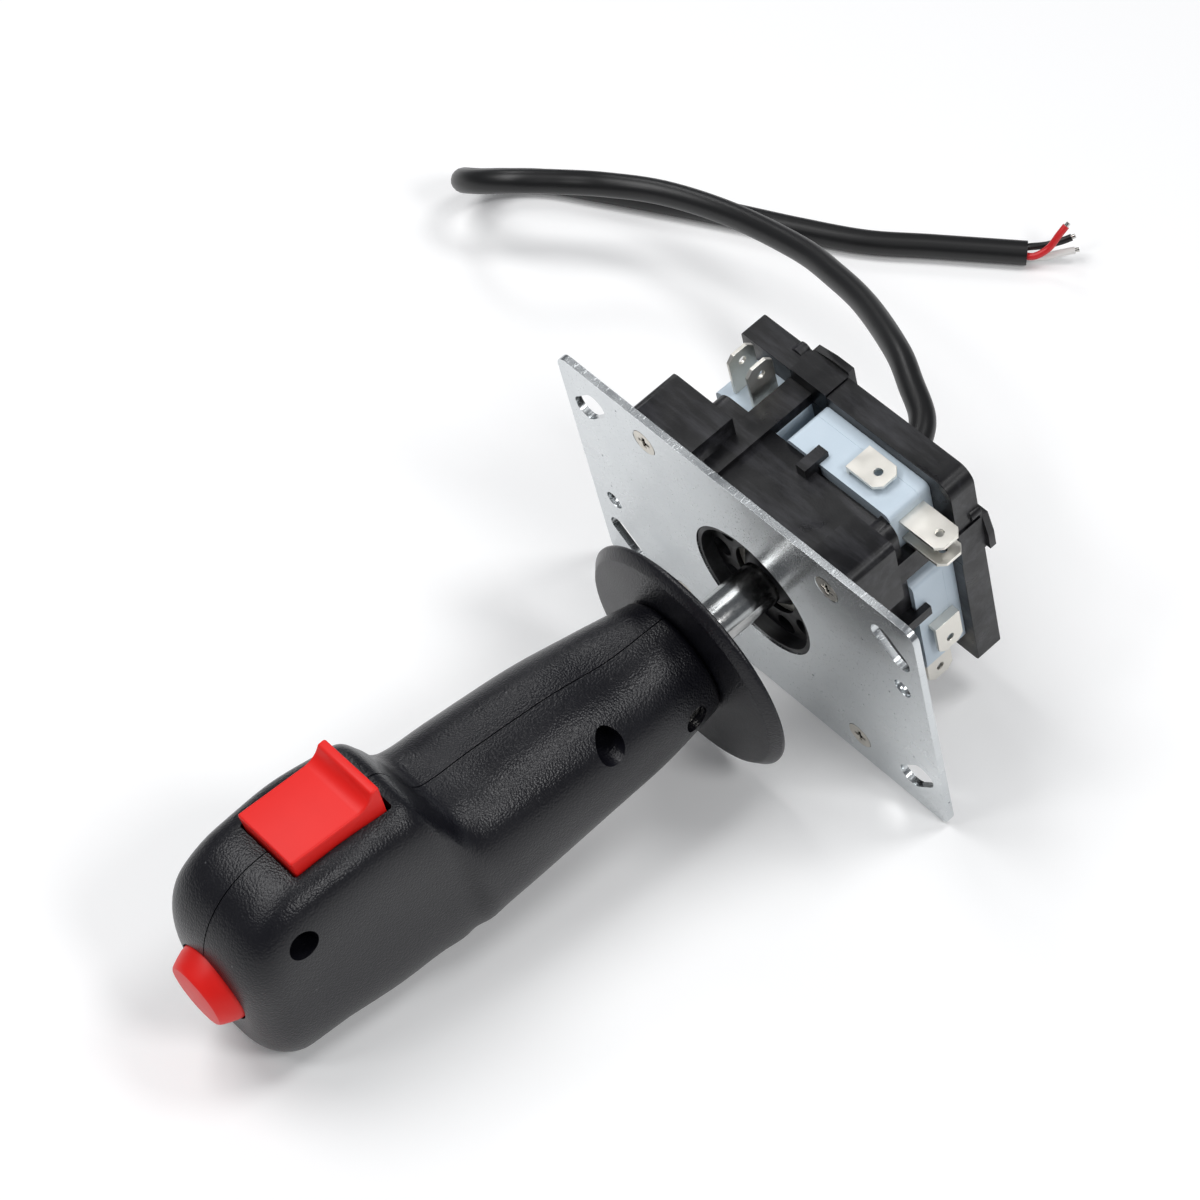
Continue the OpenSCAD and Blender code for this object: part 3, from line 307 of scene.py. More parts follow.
finish = {
    "grip": grainedAbs(),
    "nylon": mouldedNylon("mouldedNylon", 0.24, 0.48),
    "greased": mouldedNylon("greasedNylon", 0.34, 0.55),
    "red": satinRed(),
    "zinc": zincSheet(),
    "steel": brightMetal("polishedSteel", "#d6d6d5", "#babab9", 0.13, 0.22, 0.8),
    "nickel": brightMetal("nickelSteel", "#dcdad5", "#b9b7b2", 0.14, 0.26, 1.6),
    "screw": screwNickel(),
    "tab": brightMetal("tinnedBrass", "#f0ede6", "#e2dfd6", 0.3, 0.42, 4.0),
    "case": mouldedPlastic("switchPbt", "#ccd9e4", "#bfcfdb", 0.36, 0.5, 0.03),
    "darkCase": mouldedPlastic("blackPbt", "#161618", "#0e0e0f", 0.42, 0.3, 0.02),
    "bearing": mouldedPlastic("bearingNylon", "#dedcd2", "#cfcdc2", 0.4, 0.3, 0.02),
    "pvc": mouldedPlastic("blackPvc", "#121213", "#0b0b0c", 0.38, 0.5, 0.02),
    "redPvc": mouldedPlastic("redPvc", "#d3262b", "#c01d22", 0.36, 0.4, 0.02),
    "whitePvc": mouldedPlastic("whitePvc", "#eeedea", "#dfdedb", 0.36, 0.4, 0.02),
}
print("materials ready")

# Making pieces


def addPiece(name, mesh, material, body, nodes=()):
    mesh.materials.clear()
    mesh.materials.append(material)
    piece = bpy.data.objects.new(name, mesh)
    scene.collection.objects.link(piece)
    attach(piece, body)
    if nodes:
        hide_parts(*nodes)
    return piece


def toMesh(bm, name, place, sharp=35):
    bmesh.ops.transform(bm, matrix=place, verts=bm.verts)
    bmesh.ops.recalc_face_normals(bm, faces=bm.faces)
    mesh = bpy.data.meshes.new(name)
    bm.to_mesh(mesh)
    bm.free()
    mesh.shade_smooth()
    mesh.set_sharp_from_angle(angle=math.radians(sharp))
    return mesh


def plainMesh(bm, name):
    bmesh.ops.recalc_face_normals(bm, faces=bm.faces)
    mesh = bpy.data.meshes.new(name)
    bm.to_mesh(mesh)
    bm.free()
    return mesh


def carve(mesh, cutter, operation):
    # Joins or cuts two meshes with an exact boolean and gives the result as a mesh
    body = bpy.data.objects.new("carveBody", mesh)
    tool = bpy.data.objects.new("carveTool", cutter)
    for o in (body, tool):
        scene.collection.objects.link(o)
    step = body.modifiers.new("carve", "BOOLEAN")
    step.operation, step.solver, step.object = operation, "EXACT", tool
    made = bpy.data.meshes.new_from_object(body.evaluated_get(bpy.context.evaluated_depsgraph_get()))
    bpy.data.objects.remove(body)
    bpy.data.objects.remove(tool)
    return made


def turned(profile, steps=96, centre=(0, 0)):
    # A closed profile of (radius, height) points, spun about the z axis
    bm = bmesh.new()
    verts = [bm.verts.new((r, 0, z)) for r, z in profile]
    edges = [bm.edges.new((a, b)) for a, b in zip(verts, verts[1:])]
    bmesh.ops.spin(bm, geom=verts + edges, cent=(0, 0, 0), axis=(0, 0, 1), angle=2 * math.pi, steps=steps,
                   use_merge=True)
    bmesh.ops.remove_doubles(bm, verts=bm.verts, dist=1e-4)
    bmesh.ops.translate(bm, vec=(centre[0], centre[1], 0), verts=bm.verts)
    return bm


def softCopy(node, width, segments=2, limit=30):
    # A copy of a CAD node with its edges broken, as every moulded or stamped edge is
    bm = bmesh.new()
    bm.from_mesh(frame["nodes"][node].data)
    bmesh.ops.scale(bm, vec=(1 / mm,) * 3, verts=bm.verts)
    bmesh.ops.remove_doubles(bm, verts=bm.verts, dist=0.002)
    bmesh.ops.dissolve_limit(bm, angle_limit=math.radians(0.4), verts=bm.verts, edges=bm.edges)
    if width:
        edges = [e for e in bm.edges if len(e.link_faces) == 2 and e.calc_face_angle() > math.radians(limit)]
        bmesh.ops.bevel(bm, geom=edges, offset=width, affect="EDGES", segments=segments, profile=0.5, material=-1,
                        clamp_overlap=True)
    return bm


def roundBar(bm, at, width, x0, x1, sides=48):
    # A bar along x at (y, z)
    made = bmesh.ops.create_cone(bm, cap_ends=True, segments=sides, radius1=width / 2, radius2=width / 2,
                                 depth=abs(x1 - x0))
    turn = Matrix.Translation(((x0 + x1) / 2, at[0], at[1])) @ Matrix.Rotation(math.pi / 2, 4, "Y")
    bmesh.ops.transform(bm, matrix=turn, verts=made["verts"])


def uprightBar(bm, at, width, z0, z1, sides=96):
    # A bar along z at (x, y)
    made = bmesh.ops.create_cone(bm, cap_ends=True, segments=sides, radius1=width / 2, radius2=width / 2,
                                 depth=z1 - z0)
    bmesh.ops.translate(bm, vec=(at[0], at[1], (z0 + z1) / 2), verts=made["verts"])


def block(bm, low, high, rounded=0.0):
    # A box between two corners, its edges along y rounded
    made = bmesh.ops.create_cube(bm, size=1.0)["verts"]
    low, high = Vector(low), Vector(high)
    bmesh.ops.scale(bm, vec=high - low, verts=made)
    bmesh.ops.translate(bm, vec=(low + high) / 2, verts=made)
    if rounded:
        edges = {e for v in made for e in v.link_edges}
        along = [e for e in edges if abs(e.verts[0].co.y - e.verts[1].co.y) > 0.9 * (high.y - low.y)]
        bmesh.ops.bevel(bm, geom=along, offset=rounded, affect="EDGES", segments=4, profile=0.5, material=-1)


# Cable: leaves the gland, comes down to the table, turns once and ends stripped
cable = {
    "route": [
        (0, 81.782, 39.889), (-1.8, 90.2, 40.2), (-5.8, 95.8, 41.2), (-13.8, 100.4, 41.6), (-23, 105.6, 40.8),
        (-40, 113.8, 36), (-54, 118.4, 32), (-68, 121.6, 28), (-89, 122, 23), (-105.6, 118, 20.4),
        (-117, 111, 19.4), (-124.2, 102.8, 20.2), (-130.2, 96.2, 20.2), (-136.6, 92.8, 17.8), (-142.6, 93, 14),
        (-147.2, 96.8, 9.2), (-148.2, 102.2, 5.2), (-146.3, 108.2, 3.1), (-140.6, 114.8, 2.7), (-131.1, 121.3, 2.7),
        (-118.6, 129.5, 2.7), (-105.6, 137.8, 2.7), (-92.6, 145.5, 2.7), (-80.1, 153.7, 2.7), (-69.6, 163.5, 2.7),
        (-54.5, 177.5, 2.7),
    ],
    "thick": 5.4,
    "core": 1.6,
    # The cores past the end: along the cable, to its left, up
    "red": [(-2, -0.9, 0.35), (1.4, -1.5, 0.5), (4.45, -0.5, 2.2), (6.4, 0.6, 5.2), (7.8, 1.7, 7.0)],
    "black": [(-2, 0.7, 0.7), (0.85, 1.4, 0.7), (3.9, 1.8, 1.05), (7.3, 2.4, 2.05), (9.3, 2.8, 2.95)],
    "white": [(-2, 0.1, -0.95), (1.35, 0, -1.05), (4.1, 0.4, -0.9), (7.2, 0.9, -0.1), (10.3, 1.3, 0.65)],
    "tip": 1.0,
    "tipLong": 1.2,
}


def cordCurve(name, points, thick, material):
    data = bpy.data.curves.new(name, "CURVE")
    data.dimensions = "3D"
    data.bevel_depth = thick / 2 * mm
    data.bevel_resolution = 7
    data.resolution_u = 10
    data.use_fill_caps = True
    data.materials.append(material)
    spline = data.splines.new("BEZIER")
    spline.bezier_points.add(len(points) - 1)
    line = [Vector(p) * mm for p in points]
    line = [2 * line[0] - line[1]] + line + [2 * line[-1] - line[-2]]
    for i, knot in enumerate(spline.bezier_points):
        lean = (line[i + 2] - line[i]) / 6
        knot.co = line[i + 1]
        knot.handle_left_type = knot.handle_right_type = "FREE"
        knot.handle_left, knot.handle_right = line[i + 1] - lean, line[i + 1] + lean
    piece = bpy.data.objects.new(name, data)
    scene.collection.objects.link(piece)
    return piece


def between(rows, steps):
    # Rows on a smooth curve through the given ones
    line = [Vector(r) for r in rows]
    line = [2 * line[0] - line[1]] + line + [2 * line[-1] - line[-2]]
    made = []
    for i in range(len(rows) - 1):
        a, b, c, d = line[i:i + 4]
        for k in range(steps):
            s = k / steps
            made.append(0.5 * (2 * b + (c - a) * s + (2 * a - 5 * b + 4 * c - d) * s ** 2
                               + (3 * b - a - 3 * c + d) * s ** 3))
    return made + [Vector(rows[-1])]


def routeLength(points):
    line = between(points, 12)
    return sum((b - a).length for a, b in zip(line, line[1:])) * mm


def makeCable(c):
    end = Vector(c["route"][-1])
    ahead = (end - Vector(c["route"][-2])).normalized()
    up = Vector((0, 0, 1))
    bare = bmesh.new()
    sheath = cordCurve("cableSheath", c["route"], c["thick"], finish["pvc"])
    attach(sheath, "base")
    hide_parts("cable")
    for tint, look, slot in (("red", "redPvc", "red_pvc"), ("black", "pvc", "cable_pvc"),
                             ("white", "whitePvc", "white_pvc")):
        line = [end + ahead * a + up.cross(ahead) * b + up * z for a, b, z in c[tint]]
        wire = cordCurve(tint + "Wire", line, c["core"], finish[look])
        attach(wire, "base")
        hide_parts("wire_" + tint)
        run = (line[-1] - line[-2]).normalized()
        tip = bmesh.ops.create_cone(bare, cap_ends=True, segments=20, radius1=c["tip"] / 2, radius2=c["tip"] / 2,
                                    depth=c["tipLong"])["verts"]
        turn = run.to_track_quat("Z", "Y").to_matrix().to_4x4()
        bmesh.ops.transform(bare, matrix=Matrix.Translation(line[-1] + run * c["tipLong"] / 4) @ turn, verts=tip)
    addPiece("wireTips", toMesh(bare, "wireTips", rowFrame), finish["nickel"], "base",
                          ["wire_tips"])
    routeLength(c["route"])


makeCable(cable)
print("cable ready, %.0f mm" % (routeLength(cable["route"]) / mm))

# Handle shells: two halves lofted along the stick from sections (z, back, front, half width, squareness of the
# back half, squareness of the front half)
handle = {
    "foot": 20.0,
    "end": 128.4,
    "footRound": 1.5,
    "sections": [
        (21.5, -13, 13, 13, 2, 2), (34.784, -13.3, 13.847, 15, 2, 2.6), (48.336, -12.6, 17.4, 16.2, 2.1, 2.5),
        (66.2, -12.9, 20.2, 16.8, 2.2, 2.6), (75.6, -12.9, 21.1, 16.8, 2.3, 2.8), (79.6, -13.1, 22.9, 16.6, 2.5, 3.2),
        (82.6, -13.4, 29.4, 15.3, 2.9, 3.7), (85.6, -13.6, 34.3, 14.9, 3.3, 4.0),
        (90.993, -11.88, 35.3, 14.7, 3.6, 4.6), (100.386, -10.5, 36.6, 14.7, 3.8, 5.4),
        (111.9, -7.8, 37.2, 14.6, 3.8, 4.6),
    ],
    "frontRound": 16.5,
    "backRound": 9.0,
    "sideRound": 7.5,
    "endSquare": (2.6, 3.9),
    "wall": 2.6,
    "cavity": (34.0, -12.9, 13.847, 15.0, 2.0, 2.4),
    "gap": 0.02,
    "seam": 0.2,  # chamfer on each half, which draws the dark line between them
    "points": 128,
    "steps": 7,
    "screws": [(28.0, 115.2), (11.6, 46.0)],
    "gripShift": (0, -1.6, -0.4),  # from the solid's place to the place in the photograph
    "bore": 3.0,
    "blind": 8.0,
    "head": 6.1,
    "seat": 3.5,
    "boss": 9.0,
    "clamp": (0, 27.0),
    "clampHead": 5.5,
    "clampSeat": 10.0,
    "shaft": 9.5,
    "pegs": [(10.7, 89.0), (10.7, 98.5), (8.2, 108.1), (17.7, 108.1)],
    "peg": 2.2,
    "post": 5.0,
    "pin": (32.0, 106.0),
    "lug": 7.0,
    "lugGap": 0.4,
    "pinDeep": 4,
    "postFrom": 3.3,
    "pegSpan": (-2.8, 4.2),
    "far": 34,  # well outside the shell
}
trigger = {
    "half": 7.65,
    "face": 40.6,
    "hollow": 39.2,
    "crest": 41.8,
    "inner": 27.0,
    "low": 89.0,
    "top": 109.5,
    "lip": 1.8,
    "dishRadius": 4.0,
    "edge": 0.7,
    "post": ((-3, 19.9, 95.5), (3, 28, 98.5)),
    "pinHole": 3.1,
    "slotGap": 1.1,
    "slotTop": 0.3,
    "fall": 0.7,  # the hidden inner corner is lower, so that it clears the slot at full pull
    "slotSide": 0.3,
    "slotInner": 24.68,
    "slotOut": 60,  # well outside the face
    "slotRound": 0.6,
    "pinReach": 20,
}
button = {"at": 15.2, "wide": 16.4, "face": 12.4, "high": 4.2, "gap": 0.3, "flange": 123.9, "flangeThick": 1.5,
          "flangeWide": 19.4, "stem": 117.3, "stemWide": 6.0}


def handleRows(h, wall, steps):
    rows = []
    if wall:
        for z, back, front, half, square, fore in [h["cavity"]] + h["sections"][2:]:
            rows.append((z, back + wall, front - wall, half - wall, square, fore))
    else:
        for k in range(7):  # rounded foot
            a = math.radians(15 * k)
            inset = h["footRound"] * (1 - math.sin(a))
            z = h["foot"] + h["footRound"] * (1 - math.cos(a))
            first = h["sections"][0]
            rows.append((z, first[1] + inset, first[2] - inset, first[3] - inset, first[4], first[5]))
        rows += [tuple(r) for r in between(h["sections"], h["steps"])][1:]
    top, ahead = h["end"] - wall, h["frontRound"] - wall
    back, front, half, square, fore = h["sections"][-1][1:]
    start = top - ahead

    def drawnIn(z, r):
        up = max(0.0, z - top + r)
        return r - math.sqrt(max(0.0, r * r - up * up))

    for k in range(1, steps + 1):  # rounded end of the head
        z = start + ahead * math.sin(math.radians(90 * k / steps))
        part = (z - start) / h["frontRound"]
        rows.append((z, back + wall + drawnIn(z, h["backRound"] - wall), front - wall - drawnIn(z, ahead),
                     half - wall - drawnIn(z, h["sideRound"] - wall), square + (h["endSquare"][0] - square) * part,
                     fore + (h["endSquare"][1] - fore) * part))
    return rows


def loft(rows, count):
    bm = bmesh.new()
    turn = bm.verts.layers.float.new("turn")
    ring = bmesh.ops.create_circle(bm, segments=count, radius=1.0)["verts"]
    for v in ring:
        v[turn] = math.atan2(v.co.y, v.co.x)
    edges = list({e for v in ring for e in v.link_edges})
    for i, (z, back, front, half, square, fore) in enumerate(rows):
        if i:
            made = bmesh.ops.extrude_edge_only(bm, edges=edges)["geom"]
            ring = [g for g in made if isinstance(g, bmesh.types.BMVert)]
            own = set(ring)
            edges = [g for g in made if isinstance(g, bmesh.types.BMEdge) and g.verts[0] in own and g.verts[1] in own]
        else:
            first = list(edges)
        for v in ring:
            c, s = math.cos(v[turn]), math.sin(v[turn])
            power = 2 / (fore if s > 0 else square)
            x = half * math.copysign(abs(c) ** power, c)
            y = (front + back) / 2 + (front - back) / 2 * math.copysign(abs(s) ** power, s)
            v.co = (x, y, z)
    for loop in (first, edges):
        bmesh.ops.edgeloop_fill(bm, edges=loop)
    bmesh.ops.recalc_face_normals(bm, faces=bm.faces)
    return bm


def halfBody(h, side):
    bm = loft(handleRows(h, 0, 24), h["points"])
    made = bmesh.ops.bisect_plane(bm, geom=bm.verts[:] + bm.edges[:] + bm.faces[:], plane_co=(side * h["gap"], 0, 0),
                                  plane_no=(-side, 0, 0), clear_outer=True)["geom_cut"]
    rim = [g for g in made if isinstance(g, bmesh.types.BMEdge)]
    bmesh.ops.edgeloop_fill(bm, edges=rim)
    bmesh.ops.recalc_face_normals(bm, faces=bm.faces)
    bmesh.ops.bevel(bm, geom=rim, offset=h["seam"], affect="EDGES", segments=1, profile=0.5, material=-1,
                    clamp_overlap=True)
    return plainMesh(bm, "shellBody")


def handleHalf(h, side):
    t, b, far = trigger, button, h["far"]
    posts = bmesh.new()
    for p in h["screws"]:
        roundBar(posts, p, h["boss"], -side, side * far)
    for p in h["pegs"]:
        roundBar(posts, p, h["post"], side * h["postFrom"], side * far)
    roundBar(posts, h["pin"], h["lug"], side * (t["half"] + h["lugGap"]), side * far)
    cavity = carve(plainMesh(loft(handleRows(h, h["wall"], 12), 64), "shellCavity"), plainMesh(posts, "shellPosts"),
                   "DIFFERENCE")
    mesh = carve(halfBody(h, side), cavity, "DIFFERENCE")
    bores = bmesh.new()
    for p in h["screws"]:
        roundBar(bores, p, h["bore"], -1, side * (far if side > 0 else h["blind"]))
    roundBar(bores, h["pin"], h["bore"], -1, side * (t["half"] + h["pinDeep"]))
    if side > 0:
        roundBar(bores, h["clamp"], h["bore"], 0, far)
    mesh = carve(mesh, plainMesh(bores, "shellBores"), "DIFFERENCE")
    if side > 0:
        heads = bmesh.new()
        for p in h["screws"]:
            roundBar(heads, p, h["head"], h["seat"], far)
        roundBar(heads, h["clamp"], h["clampHead"], h["clampSeat"], far)
        mesh = carve(mesh, plainMesh(heads, "shellHeads"), "DIFFERENCE")
    ports = bmesh.new()
    uprightBar(ports, (0, 0), h["shaft"], h["foot"] - 1, h["cavity"][0] + 1)
    uprightBar(ports, (0, b["at"]), b["wide"] + 2 * b["gap"], b["flange"], h["end"] + 10)
    block(ports, (-t["half"] - t["slotSide"], t["slotInner"], t["low"] - t["slotGap"]),
          (t["half"] + t["slotSide"], t["slotOut"], t["top"] + t["slotTop"]), t["slotRound"])
    mesh = carve(mesh, plainMesh(ports, "shellPorts"), "DIFFERENCE")
    if side > 0:
        pegs = bmesh.new()
        for p in h["pegs"]:
            roundBar(pegs, p, h["peg"], *h["pegSpan"], 24)
        mesh = carve(mesh, plainMesh(pegs, "shellPegs"), "UNION")
    return mesh


for side, name, node in ((1, "rightShell", "handle_right_shell"), (-1, "leftShell", "handle_left_shell")):
    bm = bmesh.new()
    bm.from_mesh(handleHalf(handle, side))
    bmesh.ops.remove_doubles(bm, verts=bm.verts, dist=0.001)
    addPiece(name, toMesh(bm, name, stickFrame, 40), finish["grip"], "stick", [node])
print("handle ready")

# Handle screws: the solid's own two, the one in the grip set where its hole is
bm = bmesh.new()
bm.from_mesh(frame["nodes"]["handle_screws"].data)
bmesh.ops.transform(bm, matrix=stickFrame.inverted(), verts=bm.verts)
lower = [v for v in bm.verts if v.co.z < (handle["screws"][0][1] + handle["screws"][1][1]) / 2]
bmesh.ops.translate(bm, vec=handle["gripShift"], verts=lower)
addPiece("handleScrews", toMesh(bm, "handleScrews", stickFrame), finish["nickel"], "stick",
         ["handle_screws"])

# Dust disc: thin moulded disc with a bevelled rim, loose on the shaft
disc = {"radius": 25.8, "bore": 6.55, "back": 17.4, "thick": 2.6, "bevel": 1.8, "edge": 0.8, "soft": 0.2,
        "at": (1.5, -0.95)}


def makeDisc(d):
    low, top = d["back"], d["back"] + d["thick"]
    bm = turned([
        (d["bore"], low + d["soft"]), (d["bore"] + d["soft"], low),
        (d["radius"] - 0.4, low), (d["radius"] - 0.1, low + 0.15),  # round the rim, up to its bevel
        (d["radius"], low + 0.4), (d["radius"], low + d["edge"]), (d["radius"] - 0.15, low + d["edge"] + 0.25),
        (d["radius"] - d["bevel"] + 0.15, top - 0.12), (d["radius"] - d["bevel"] - 0.2, top),
        (d["bore"] + d["soft"], top), (d["bore"], top - d["soft"]), (d["bore"], low + d["soft"]),
    ], 144, d["at"])
    addPiece("dustDisc", toMesh(bm, "dustDisc", stickFrame), finish["grip"], "dust_disc",
             ["dust_disc"])


makeDisc(disc)
print("disc ready")

# Trigger: a block with a dished face and a lip, its edges rounded, on a pin, with a post for its switch


def makeTrigger(t):
    bm = bmesh.new()
    run = math.sqrt(t["dishRadius"] ** 2 - (t["dishRadius"] + t["hollow"] - t["crest"]) ** 2)
    centre = (t["hollow"] + t["dishRadius"], t["low"] + t["lip"] + run)
    outline = [(t["inner"], t["low"]), (t["crest"], t["low"]), (t["crest"], t["low"] + t["lip"])]
    first = math.atan2(t["low"] + t["lip"] - centre[1], t["crest"] - centre[0])
    for k in range(1, 11):
        a = first + (-math.pi - first) * k / 10
        outline.append((centre[0] + t["dishRadius"] * math.cos(a), centre[1] + t["dishRadius"] * math.sin(a)))
    outline += [(t["face"], t["top"]), (t["inner"], t["top"] - t["fall"])]
    ring = [bm.verts.new((-t["half"], y, z)) for y, z in outline]
    made = bmesh.ops.extrude_face_region(bm, geom=[bm.faces.new(ring)])["geom"]
    bmesh.ops.translate(bm, vec=(2 * t["half"], 0, 0), verts=[g for g in made if isinstance(g, bmesh.types.BMVert)])
    bmesh.ops.recalc_face_normals(bm, faces=bm.faces)
    edges = [e for e in bm.edges if e.calc_face_angle() > math.radians(25)]
    bmesh.ops.bevel(bm, geom=edges, offset=t["edge"], affect="EDGES", segments=4, profile=0.5, material=-1,
                    clamp_overlap=True)
    post, pin = bmesh.new(), bmesh.new()
    block(post, *t["post"])
    roundBar(pin, handle["pin"], t["pinHole"], -t["pinReach"], t["pinReach"])
    mesh = carve(plainMesh(bm, "triggerBlock"), plainMesh(post, "triggerPost"), "UNION")
    mesh = carve(mesh, plainMesh(pin, "triggerPin"), "DIFFERENCE")
    bm = bmesh.new()
    bm.from_mesh(mesh)
    addPiece("triggerLever", toMesh(bm, "triggerLever", stickFrame, 45), finish["red"], "trigger",
             ["trigger"])


makeTrigger(trigger)

# Thumb button: a bowed cap with a flat face, on a skirt, a flange behind the shell and a stem


def makeButton(b):
    end = handle["end"]
    top, wide, face = end + b["high"], b["wide"] / 2, b["face"] / 2
    flange, under = b["flangeWide"] / 2, b["flange"] - b["flangeThick"]
    bm = turned([
        (0, top), (face - 0.1, top), (face + 0.2, top - 0.06), (face + 0.45, top - 0.3), (face + 0.75, top - 0.85),
        (wide - 0.75, top - 2.0), (wide - 0.3, top - 3.2), (wide - 0.08, top - 4.2), (wide, top - 5.0),
        (wide, b["flange"]), (flange, b["flange"]), (flange, under), (b["stemWide"] / 2, under),
        (b["stemWide"] / 2, b["stem"]), (0, b["stem"]),
    ], 96, (0, b["at"]))
    addPiece("thumbButton", toMesh(bm, "thumbButton", stickFrame, 30), finish["red"], "thumb_button",
             ["thumb_button"])


makeButton(button)
print("trigger and button ready")

# Throw ring: a plain rim round a cup, with ten round pockets that leave ribs between them
ring = {"outer": 15.5, "wall": 1.0, "low": -9.0, "floor": -3.2, "top": -0.3, "cup": 9.9, "pockets": 10, "pocket": 4.6,
        "pocketFloor": -5.3, "edge": 0.25}


def makeRing(r):
    inner = r["outer"] - r["wall"]
    steps = 12
    brink = math.asin((r["floor"] - r["low"]) / r["cup"])
    bowl = [(r["cup"] * math.cos(brink * k / steps), r["low"] + r["cup"] * math.sin(brink * k / steps))
            for k in range(steps + 1)]
    outline = bowl + [(inner, r["floor"]), (inner, r["top"]), (r["outer"], r["top"]), (r["outer"], r["low"])]
    body = plainMesh(turned(outline + outline[:1], 120), "ringBody")
    holes = bmesh.new()
    reach = inner - r["pocket"] / 2 - r["edge"]
    for k in range(r["pockets"]):
        a = 2 * math.pi * k / r["pockets"]
        uprightBar(holes, (reach * math.cos(a), reach * math.sin(a)), r["pocket"], r["pocketFloor"], r["top"] + 1, 40)
    bm = bmesh.new()
    bm.from_mesh(carve(body, plainMesh(holes, "ringPockets"), "DIFFERENCE"))
    bmesh.ops.remove_doubles(bm, verts=bm.verts, dist=0.001)
    edges = [e for e in bm.edges if len(e.link_faces) == 2 and e.calc_face_angle() > math.radians(50)]
    bmesh.ops.bevel(bm, geom=edges, offset=r["edge"], affect="EDGES", segments=3, profile=0.5, material=-1,
                    clamp_overlap=True)
    addPiece("throwRing", toMesh(bm, "throwRing", plateFrame), finish["greased"], "base",
             ["throw_ring"])


makeRing(ring)

# Base pieces: copies of the solids with broken edges
sides = ("top", "right", "bottom", "left")
basePieces = [
    ("mountingPlate", "mounting_plate", 0.12, "zinc", "zinc_sheet"),
    ("baseHousing", "base_housing", 0.35, "nylon", "base_moulding"),
    ("rearCover", "rear_cover", 0.6, "nylon", "base_moulding"),
    ("plateScrews", "plate_screws", 0.2, "screw", "plated_steel"),
    ("cableGland", "cable_gland", 0.3, "pvc", "cable_pvc"),
]
for s in sides:
    basePieces += [
        ("switchCase" + s.title(), "switch_case_" + s, 0.3, "case", "switch_moulding"),
        ("switchLid" + s.title(), "switch_lid_" + s, 0.14, "case", "switch_moulding"),
        ("switchTabs" + s.title(), "switch_tabs_" + s, 0.08, "tab", "tab_brass"),
    ]
for name, node, width, look, slot in basePieces:
    piece = addPiece(name, toMesh(softCopy(node, width), name, rowFrame), finish[look], "base", [node])
    piece.modifiers.new("flatFaces", "WEIGHTED_NORMAL").keep_sharp = True
addPiece("stickShaft", toMesh(softCopy("shaft", 0), "stickShaft", rowFrame), finish["steel"], "stick",
         ["shaft"])
print("base and shaft ready")

# The rest keep their solids and take their finish
plainNodes = {
    "nickel": ["clamp_screw", "trigger_pin", "centring_spring", "retaining_clip"],
    "zinc": ["spring_washer"],
    "greased": ["pivot_ball"],
    "bearing": ["pivot_liner"],
    "red": ["actuator", "trigger_plunger", "thumb_plunger"] + ["plunger_" + s for s in sides],
    "darkCase": ["trigger_switch", "thumb_switch"],
    "pvc": ["inner_leads"],
}
for look, nodes in plainNodes.items():
    for node in nodes:
        solid = frame["nodes"][node]
        solid.data.materials.clear()
        solid.data.materials.append(finish[look])
print("finishes ready")

# Studio: white paper floor, dim surround, a soft key lamp above on the left and four small ones for the highlights
studio = {
    "floor": 6.0,
    "gap": 0.0002,  # metres, below the part
    "paper": "#f6f6f6",
    "matt": 0.55,
    "glow": 0.1,
    "surround": 0.2,
    "tint": "#f2f5fc",
    "aim": (0, 0, 0.03),
    "lamps": [  # name, place and width in metres, power in watts
        ("keyLamp", (-0.42, -0.24, 1.0), 0.6, 4.8),  # soft shadow to the lower right
        ("topLamp", (0.22, 0.42, 1.03), 0.36, 2.8),
        ("sideLamp", (0.75, 0.05, 0.8), 0.3, 3.4),
        ("leftLamp", (-0.8, 0.42, 0.72), 0.3, 1.2),
        ("frontLamp", (-0.15, -0.7, 0.95), 0.22, 1.5),
    ],
}


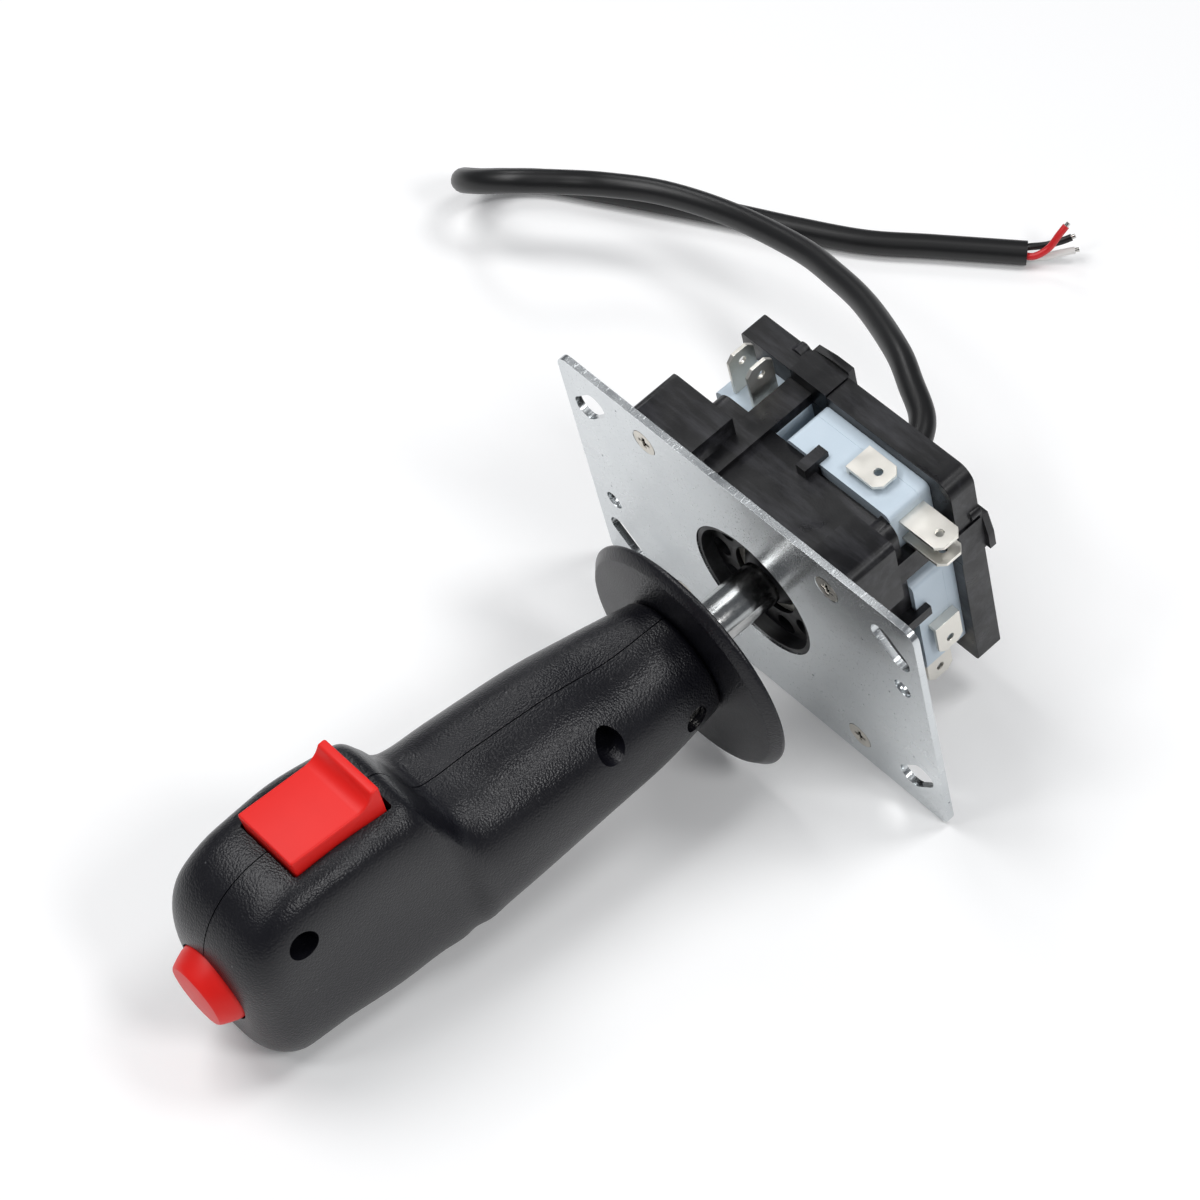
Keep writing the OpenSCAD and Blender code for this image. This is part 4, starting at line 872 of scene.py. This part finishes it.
def makeStage(s):
    bm = bmesh.new()
    bmesh.ops.create_grid(bm, x_segments=1, y_segments=1, size=s["floor"] / 2)
    mesh = plainMesh(bm, "floor")
    material = bpy.data.materials.new("paperFloor")
    material.use_nodes = True
    tree = material.node_tree
    paper = tree.nodes["Principled BSDF"]
    paper.inputs["Base Color"].default_value = colour(s["paper"])
    paper.inputs["Roughness"].default_value = s["matt"]
    rays = addNode(tree, "ShaderNodeLightPath").outputs
    seen = addNode(tree, "ShaderNodeMath", {"operation": "MAXIMUM"},
                   {0: rays["Is Camera Ray"], 1: rays["Is Glossy Ray"]})
    seen = addNode(tree, "ShaderNodeMath", {"operation": "MAXIMUM"},
                   {0: seen.outputs[0], 1: rays["Is Transmission Ray"]})
    level = addNode(tree, "ShaderNodeMath", {"operation": "MULTIPLY"}, {0: seen.outputs[0], 1: s["glow"]})
    glow = addNode(tree, "ShaderNodeEmission", {}, {"Color": (1, 1, 1, 1), "Strength": level.outputs[0]})
    soft = addNode(tree, "ShaderNodeAddShader", {}, {0: paper.outputs[0], 1: glow.outputs[0]})
    tree.links.new(soft.outputs[0], tree.nodes["Material Output"].inputs["Surface"])
    mesh.materials.append(material)
    floor = bpy.data.objects.new("floor", mesh)
    floor.location.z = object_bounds()[0].z - s["gap"]
    scene.collection.objects.link(floor)
    floor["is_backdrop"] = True


def makeWorld(s):
    world = bpy.data.worlds.new("studio")
    scene.world = world
    world.use_nodes = True
    surround = world.node_tree.nodes["Background"]
    surround.inputs["Color"].default_value = colour(s["tint"])
    surround.inputs["Strength"].default_value = s["surround"]


def makeLamp(aim, name, place, size, power):
    data = bpy.data.lights.new(name, "AREA")
    data.shape = "DISK"
    data.size = size
    data.energy = power
    lamp = bpy.data.objects.new(name, data)
    lamp.location = place
    lamp.rotation_mode = "QUATERNION"
    lamp.rotation_quaternion = (Vector(aim) - Vector(place)).to_track_quat("-Z", "Y")
    scene.collection.objects.link(lamp)


makeStage(studio)
makeWorld(studio)
for lamp in studio["lamps"]:
    makeLamp(studio["aim"], *lamp)
scene.view_settings.view_transform = "Standard"
print("studio ready")
